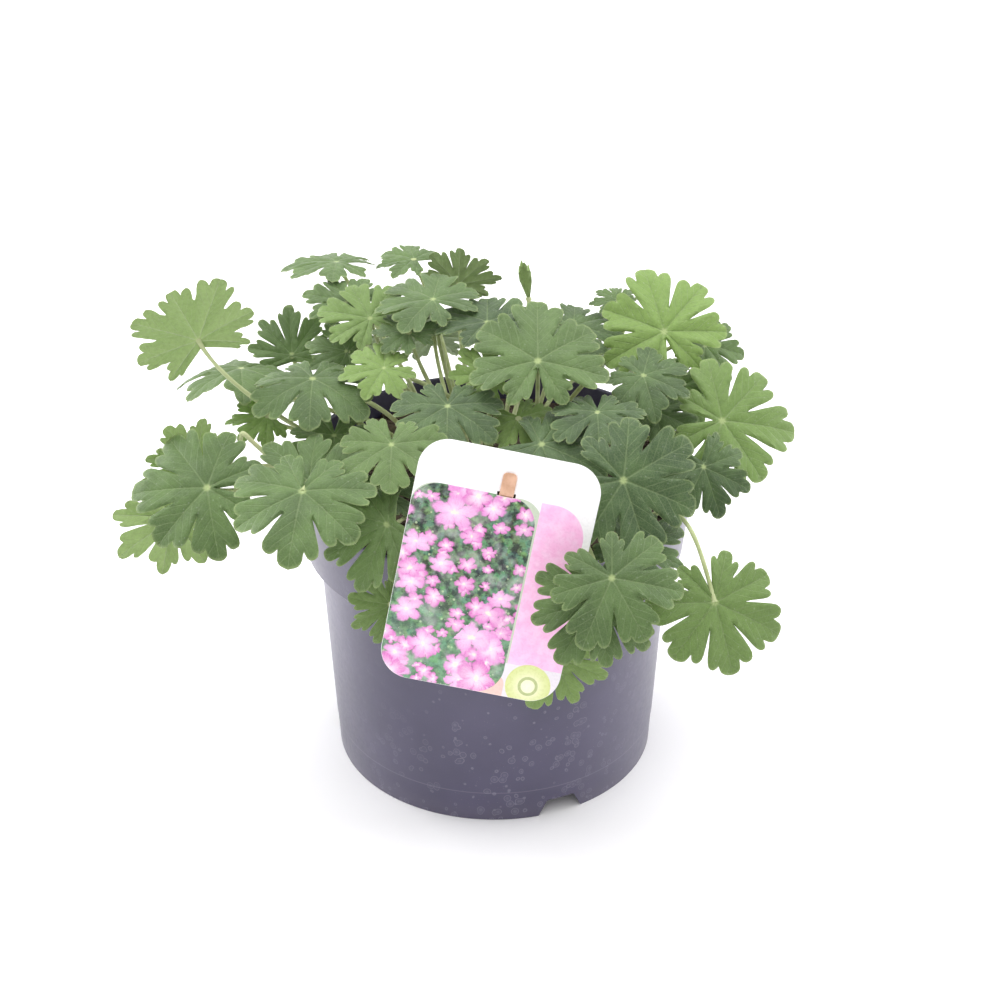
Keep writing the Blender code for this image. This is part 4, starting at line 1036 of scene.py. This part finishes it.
def build_soil(mat):
    """Compost: an uneven surface with loose crumbs and fibres on a body that fills the pot."""
    rng = random.Random(7)
    rings, segments = 56, 150
    verts, faces = [AXIS + Vector((0, 0, SOIL_TOP[0][1]))], []
    for i in range(1, rings + 1):
        r = SOIL_EDGE * i / rings
        for j in range(segments):
            a = 2 * pi * (j + 0.5 * (i % 2)) / segments
            x, y = r * cos(a), r * sin(a)
            p = Vector((x, y, 0))
            rough = 1.5 * noise.fractal(p * 0.09, 1.0, 2.0, 4) + 0.7 * noise.noise(p * 0.6)
            edge = min(1.0, (rings - i) / 3)
            verts.append(AXIS + Vector((x, y, soil_height(x, y) - 0.5 + rough * edge)))
    for j in range(segments):
        faces.append([0, 1 + j, 1 + (j + 1) % segments])
        for i in range(rings - 1):
            a, b = 1 + i * segments, 1 + (i + 1) * segments
            k = (j + 1) % segments
            faces.append([a + j, b + j, b + k, a + k])
    last = [1 + (rings - 1) * segments + j for j in range(segments)]
    for radius, z in ((79.4, 103.9), (73.8, 103.9), (68.6, 14.3)):
        ring = list(range(len(verts), len(verts) + segments))
        for j in range(segments):
            verts.append(on_pot(radius, 2 * pi * (j + 0.5 * (rings % 2)) / segments, z))
        for j in range(segments):
            k = (j + 1) % segments
            faces.append([last[j], ring[j], ring[k], last[k]])
        last = ring
    faces.append(last[::-1])
    for _ in range(CRUMBS):
        r, a = 80 * math.sqrt(rng.random()), rng.uniform(0, 6.28)
        x, y = r * cos(a), r * sin(a)
        size = rng.uniform(0.4, 1.1) if rng.random() < 0.85 else rng.uniform(1.1, 2.2)
        lump(verts, faces, AXIS + Vector((x, y, soil_height(x, y) + 0.15 * size)), size, rng)
    for _ in range(FIBRES):
        r, a = 76 * math.sqrt(rng.random()), rng.uniform(0, 6.28)
        x, y = r * cos(a), r * sin(a)
        way, line = rng.uniform(0, 6.28), []
        for i in range(6):
            line.append(AXIS + Vector((x, y, soil_height(x, y) + 0.5 - 0.25 * abs(i - 2.5))))
            way += rng.uniform(-0.6, 0.6)
            x += 1.3 * cos(way)
            y += 1.3 * sin(way)
        tube(line, [0.12, 0.2, 0.22, 0.22, 0.18, 0.1], 5, verts, faces)
    make_piece("detail_soil", verts, faces, [mat], "soil", sharp=70.0)


def build_rootstock(name, half_len, half_wide, turn, mat):
    """A knobbly piece of rootstock with ringed scales and the stumps of old stalks."""
    rng = random.Random(name)
    low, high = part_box(name)
    centre = (low + high) / 2 / MM
    seed = sum(ord(c) for c in name)
    spin = Matrix.Rotation(radians(turn), 3, "Z")
    around, along = 40, 64
    verts, faces = [centre + spin @ Vector((-half_len, 0, 0))], []
    for i in range(1, along):
        s = -cos(pi * i / along)
        r = half_wide * math.sqrt(1 - s * s) * (1 + 0.16 * sin(5 * s + seed))
        r *= 1 + 0.05 * sin(26 * s)
        for j in range(around):
            a = 2 * pi * j / around
            bump = 1 + 0.12 * sin(3 * a + 14 * i / along + seed)
            p = Vector((s * half_len, r * bump * cos(a), 0.8 * r * bump * sin(a)))
            p *= 1 + 0.10 * noise.fractal(p * 0.55 + Vector((seed, 0, 0)), 1.0, 2.0, 3)
            verts.append(centre + spin @ p)
    verts.append(centre + spin @ Vector((half_len, 0, 0)))
    for j in range(around):
        k = (j + 1) % around
        faces.append([0, 1 + k, 1 + j])
        end = 1 + (along - 2) * around
        faces.append([len(verts) - 1, end + j, end + k])
        for i in range(along - 2):
            a, b = 1 + i * around, 1 + (i + 1) * around
            faces.append([a + j, a + k, b + k, b + j])
    for _ in range(7):
        s, a = rng.uniform(-0.7, 0.7), rng.uniform(0.3, 2.8)
        out = spin @ Vector((0, cos(a), 0.8 * sin(a)))
        foot = centre + spin @ Vector((s * half_len, 0, 0)) + out * half_wide * 0.75
        lump(verts, faces, foot, rng.uniform(1.1, 1.7), rng, 1.0)
    make_piece("detail_" + name, verts, faces, [mat], name, sharp=60.0)


def card_axes():
    """The card's sideways, upward and outward directions."""
    lean, turn = radians(CARD_LEAN), radians(CARD_TURN)
    up0 = Vector((0, sin(lean), cos(lean)))
    front = Vector((0, -cos(lean), sin(lean)))
    side0 = Vector((1, 0, 0))
    up = up0 * cos(turn) + side0 * sin(turn)
    return side0 * cos(turn) - up0 * sin(turn), up, front


def build_card(front_mat, back_mat):
    """The label card with bevelled edges, a slot and millimetre places for its print."""
    side, up, front = card_axes()
    centre = AXIS + Vector(CARD_CENTRE)
    loop = []
    for cx, cy, start in ((1, 1, 0), (-1, 1, 90), (-1, -1, 180), (1, -1, 270)):
        for i in range(19):
            a = radians(start + 5 * i)
            loop.append((cx * (CARD_W / 2 - CARD_CORNER) + CARD_CORNER * cos(a),
                         cy * (CARD_H / 2 - CARD_CORNER) + CARD_CORNER * sin(a)))
    loop = [p for i, p in enumerate(loop) if math.dist(p, loop[i - 1]) > 0.01]
    drop = CARD_H / 2 - SLOT_DROP
    slot = [(-SLOT_W / 2, drop - SLOT_H / 2), (SLOT_W / 2, drop - SLOT_H / 2),
            (SLOT_W / 2, drop + SLOT_H / 2), (-SLOT_W / 2, drop + SLOT_H / 2)]
    inner = [(x, y) for x in np.arange(-33, 34, 6.0) for y in np.arange(-46.5, 47, 6.2)
             if inside(np.array([(x, y)]), np.array(loop))[0] and not (abs(x) < 6 and abs(y - drop) < 4)]
    flat, tris = triangulate([loop, slot], inner)
    rim = rim_edges(tris)
    n = len(flat)
    half, bevel = CARD_T / 2, 0.12
    shrink = {}
    for a, b in rim:
        d = Vector(flat[b] - flat[a]).normalized()
        out = Vector((d.y, -d.x))
        for i in (a, b):
            shrink[i] = shrink.get(i, Vector((0, 0))) - out
    layers = []
    for depth, pull in ((half, bevel), (half - bevel, 0.0), (-half + bevel, 0.0), (-half, bevel)):
        for i in range(n):
            p = Vector(flat[i])
            if i in shrink and pull:
                p = p + shrink[i].normalized() * pull
            layers.append(centre + side * p.x + up * p.y + front * depth)
    faces = [list(t) for t in tris] + [[3 * n + i for i in t[::-1]] for t in tris]
    picks = [0] * len(tris) + [1] * len(tris)
    for layer in range(3):
        faces += [[layer * n + b, layer * n + a, (layer + 1) * n + a, (layer + 1) * n + b] for a, b in rim]
        picks += [1] * len(rim)
    used = sorted({i for f in faces for i in f})
    renew = {old: new for new, old in enumerate(used)}
    faces = [[renew[i] for i in f] for f in faces]
    place = [(flat[i % n][0], flat[i % n][1], 0.0) for i in used]
    card = make_piece("detail_label_card", [layers[i] for i in used], faces, [front_mat, back_mat],
                      "label_card", picks, 30.0)
    add_vectors(card.data, "card_place", place)


def build_stake(mat):
    """The stake as a rounded strip along the middle of its solid's side view."""
    side, up, front = card_axes()
    slot = AXIS + Vector(CARD_CENTRE) + up * (CARD_H / 2 - SLOT_DROP)
    lean = radians(STAKE_LEAN)
    down = Vector((-cos(lean), -sin(lean)))
    path = [(9.0, 0.9, 1.2), (8.8, 0.9, 1.9), (8.3, 0.9, 2.45)]
    path += [(rise, out, STAKE_HALF) for rise, out in
             ((7.5, 0.9), (6.0, 0.9), (4.0, 0.9), (2.0, 0.9), (0.9, 0.9), (0.25, 0.7), (0.0, 0.3),
              (0.0, -0.3), (-0.4, -0.75), (-1.4, -0.95), (-3.0, -1.0))]
    knee = Vector((-3.1, -1.0))
    for i in range(1, 13):
        p = knee + down * (STAKE_LEG - 0.5) * i / 12
        path.append((p.x, p.y, {11: 2.2, 12: 0.8}.get(i, STAKE_HALF)))
    verts, faces, rings = [], [], []
    thick, sides = STAKE_T / 2, 16
    for i, (a, b, wide) in enumerate(path):
        before, after = path[max(0, i - 1)], path[min(len(path) - 1, i + 1)]
        way = Vector((after[0] - before[0], after[1] - before[1])).normalized()
        out = Vector((-way.y, way.x))
        rings.append(list(range(len(verts), len(verts) + sides)))
        for q in range(sides):
            t = 2 * pi * (q + 0.5) / sides
            c, s = cos(t), sin(t)
            u = math.copysign(abs(c) ** 0.35, c) * wide
            w = math.copysign(abs(s) ** 0.5, s) * thick
            p = Vector((a, b)) + out * w
            verts.append(slot + up * p.x + front * p.y + side * u)
    skin_rings(rings, faces)
    stake = make_piece("detail_label_stake", verts, faces, [mat], "label_stake", sharp=50.0)
    face_outward(stake.data)


def stage_plane(name, corners, mat):
    """A four-cornered plane that belongs to the studio."""
    mesh = bpy.data.meshes.new(name)
    mesh.from_pydata(corners, [], [[0, 1, 2, 3]])
    mesh.materials.append(mat)
    plane = bpy.data.objects.new(name, mesh)
    link(plane)
    return plane


def face_way(ob, place, way):
    """Put a light or camera in place, looking along a direction."""
    ob.location = place
    ob.rotation_euler = way.to_track_quat("-Z", "Y").to_euler()
    link(ob)


def build_studio():
    """Pale floor, soft lights, a dark flag that only reflections see, and the photo's camera."""
    size = 6.0
    corners = [(-size, -size, 0), (size, -size, 0), (size, size, 0), (-size, size, 0)]
    stage_plane("studio_floor", corners, floor_material())

    world = bpy.data.worlds.new("studio_light")
    world.use_nodes = True
    back = world.node_tree.nodes["Background"]
    back.inputs["Color"].default_value = (1.0, 0.995, 1.0, 1.0)
    back.inputs["Strength"].default_value = 1.0
    bpy.context.scene.world = world

    middle = Vector((AXIS.x * MM, AXIS.y * MM, 0.13))
    for name, place, size, power, gloss in LIGHTS:
        light = bpy.data.lights.new(name, "AREA")
        light.shape, light.size, light.energy = "SQUARE", size, power
        light.specular_factor = gloss
        face_way(bpy.data.objects.new(name, light), middle + Vector(place), -Vector(place))

    g = Graph("dark_cloth")
    cloth = g.done(g.shader({"Base Color": g.mix(g.noise(300), rgb(40, 40, 44), rgb(58, 57, 62)),
                             "Roughness": g.ramp(g.noise(90), 0.3, 0.7, 0.85, 0.95)}))
    flag = stage_plane("dark_flag", FLAG, cloth)
    flag.visible_camera = flag.visible_diffuse = flag.visible_shadow = False

    camera = bpy.data.cameras.new("photo_camera")
    camera.lens, camera.sensor_width = LENS, SENSOR
    camera.clip_start, camera.clip_end = 0.05, 20.0
    ob = bpy.data.objects.new("photo_camera", camera)
    pitch = radians(VIEW_PITCH)
    back = Vector((0, -cos(pitch), sin(pitch)))
    face_way(ob, (AXIS + Vector(VIEW_AIM)) * MM + back * VIEW_DISTANCE, -back)
    bpy.context.scene.camera = ob
    bpy.context.scene.view_settings.view_transform = "Standard"


build_studio()
build_pot(pot_material())
build_soil(soil_material())
bark = bark_material()
for lump_name, half_length, half_width, turned in ROOTSTOCKS:
    build_rootstock(lump_name, half_length, half_width, turned, bark)
build_card(card_front_material(), card_back_material())
build_stake(stake_material())
leaf_mats = [leaf_material("leaf_upper", False), leaf_material("leaf_under", True), stalk_material(),
             hair_material()]
for leaf_name, leaf_spec in LEAVES.items():
    build_leaf(leaf_name, leaf_spec, leaf_mats)
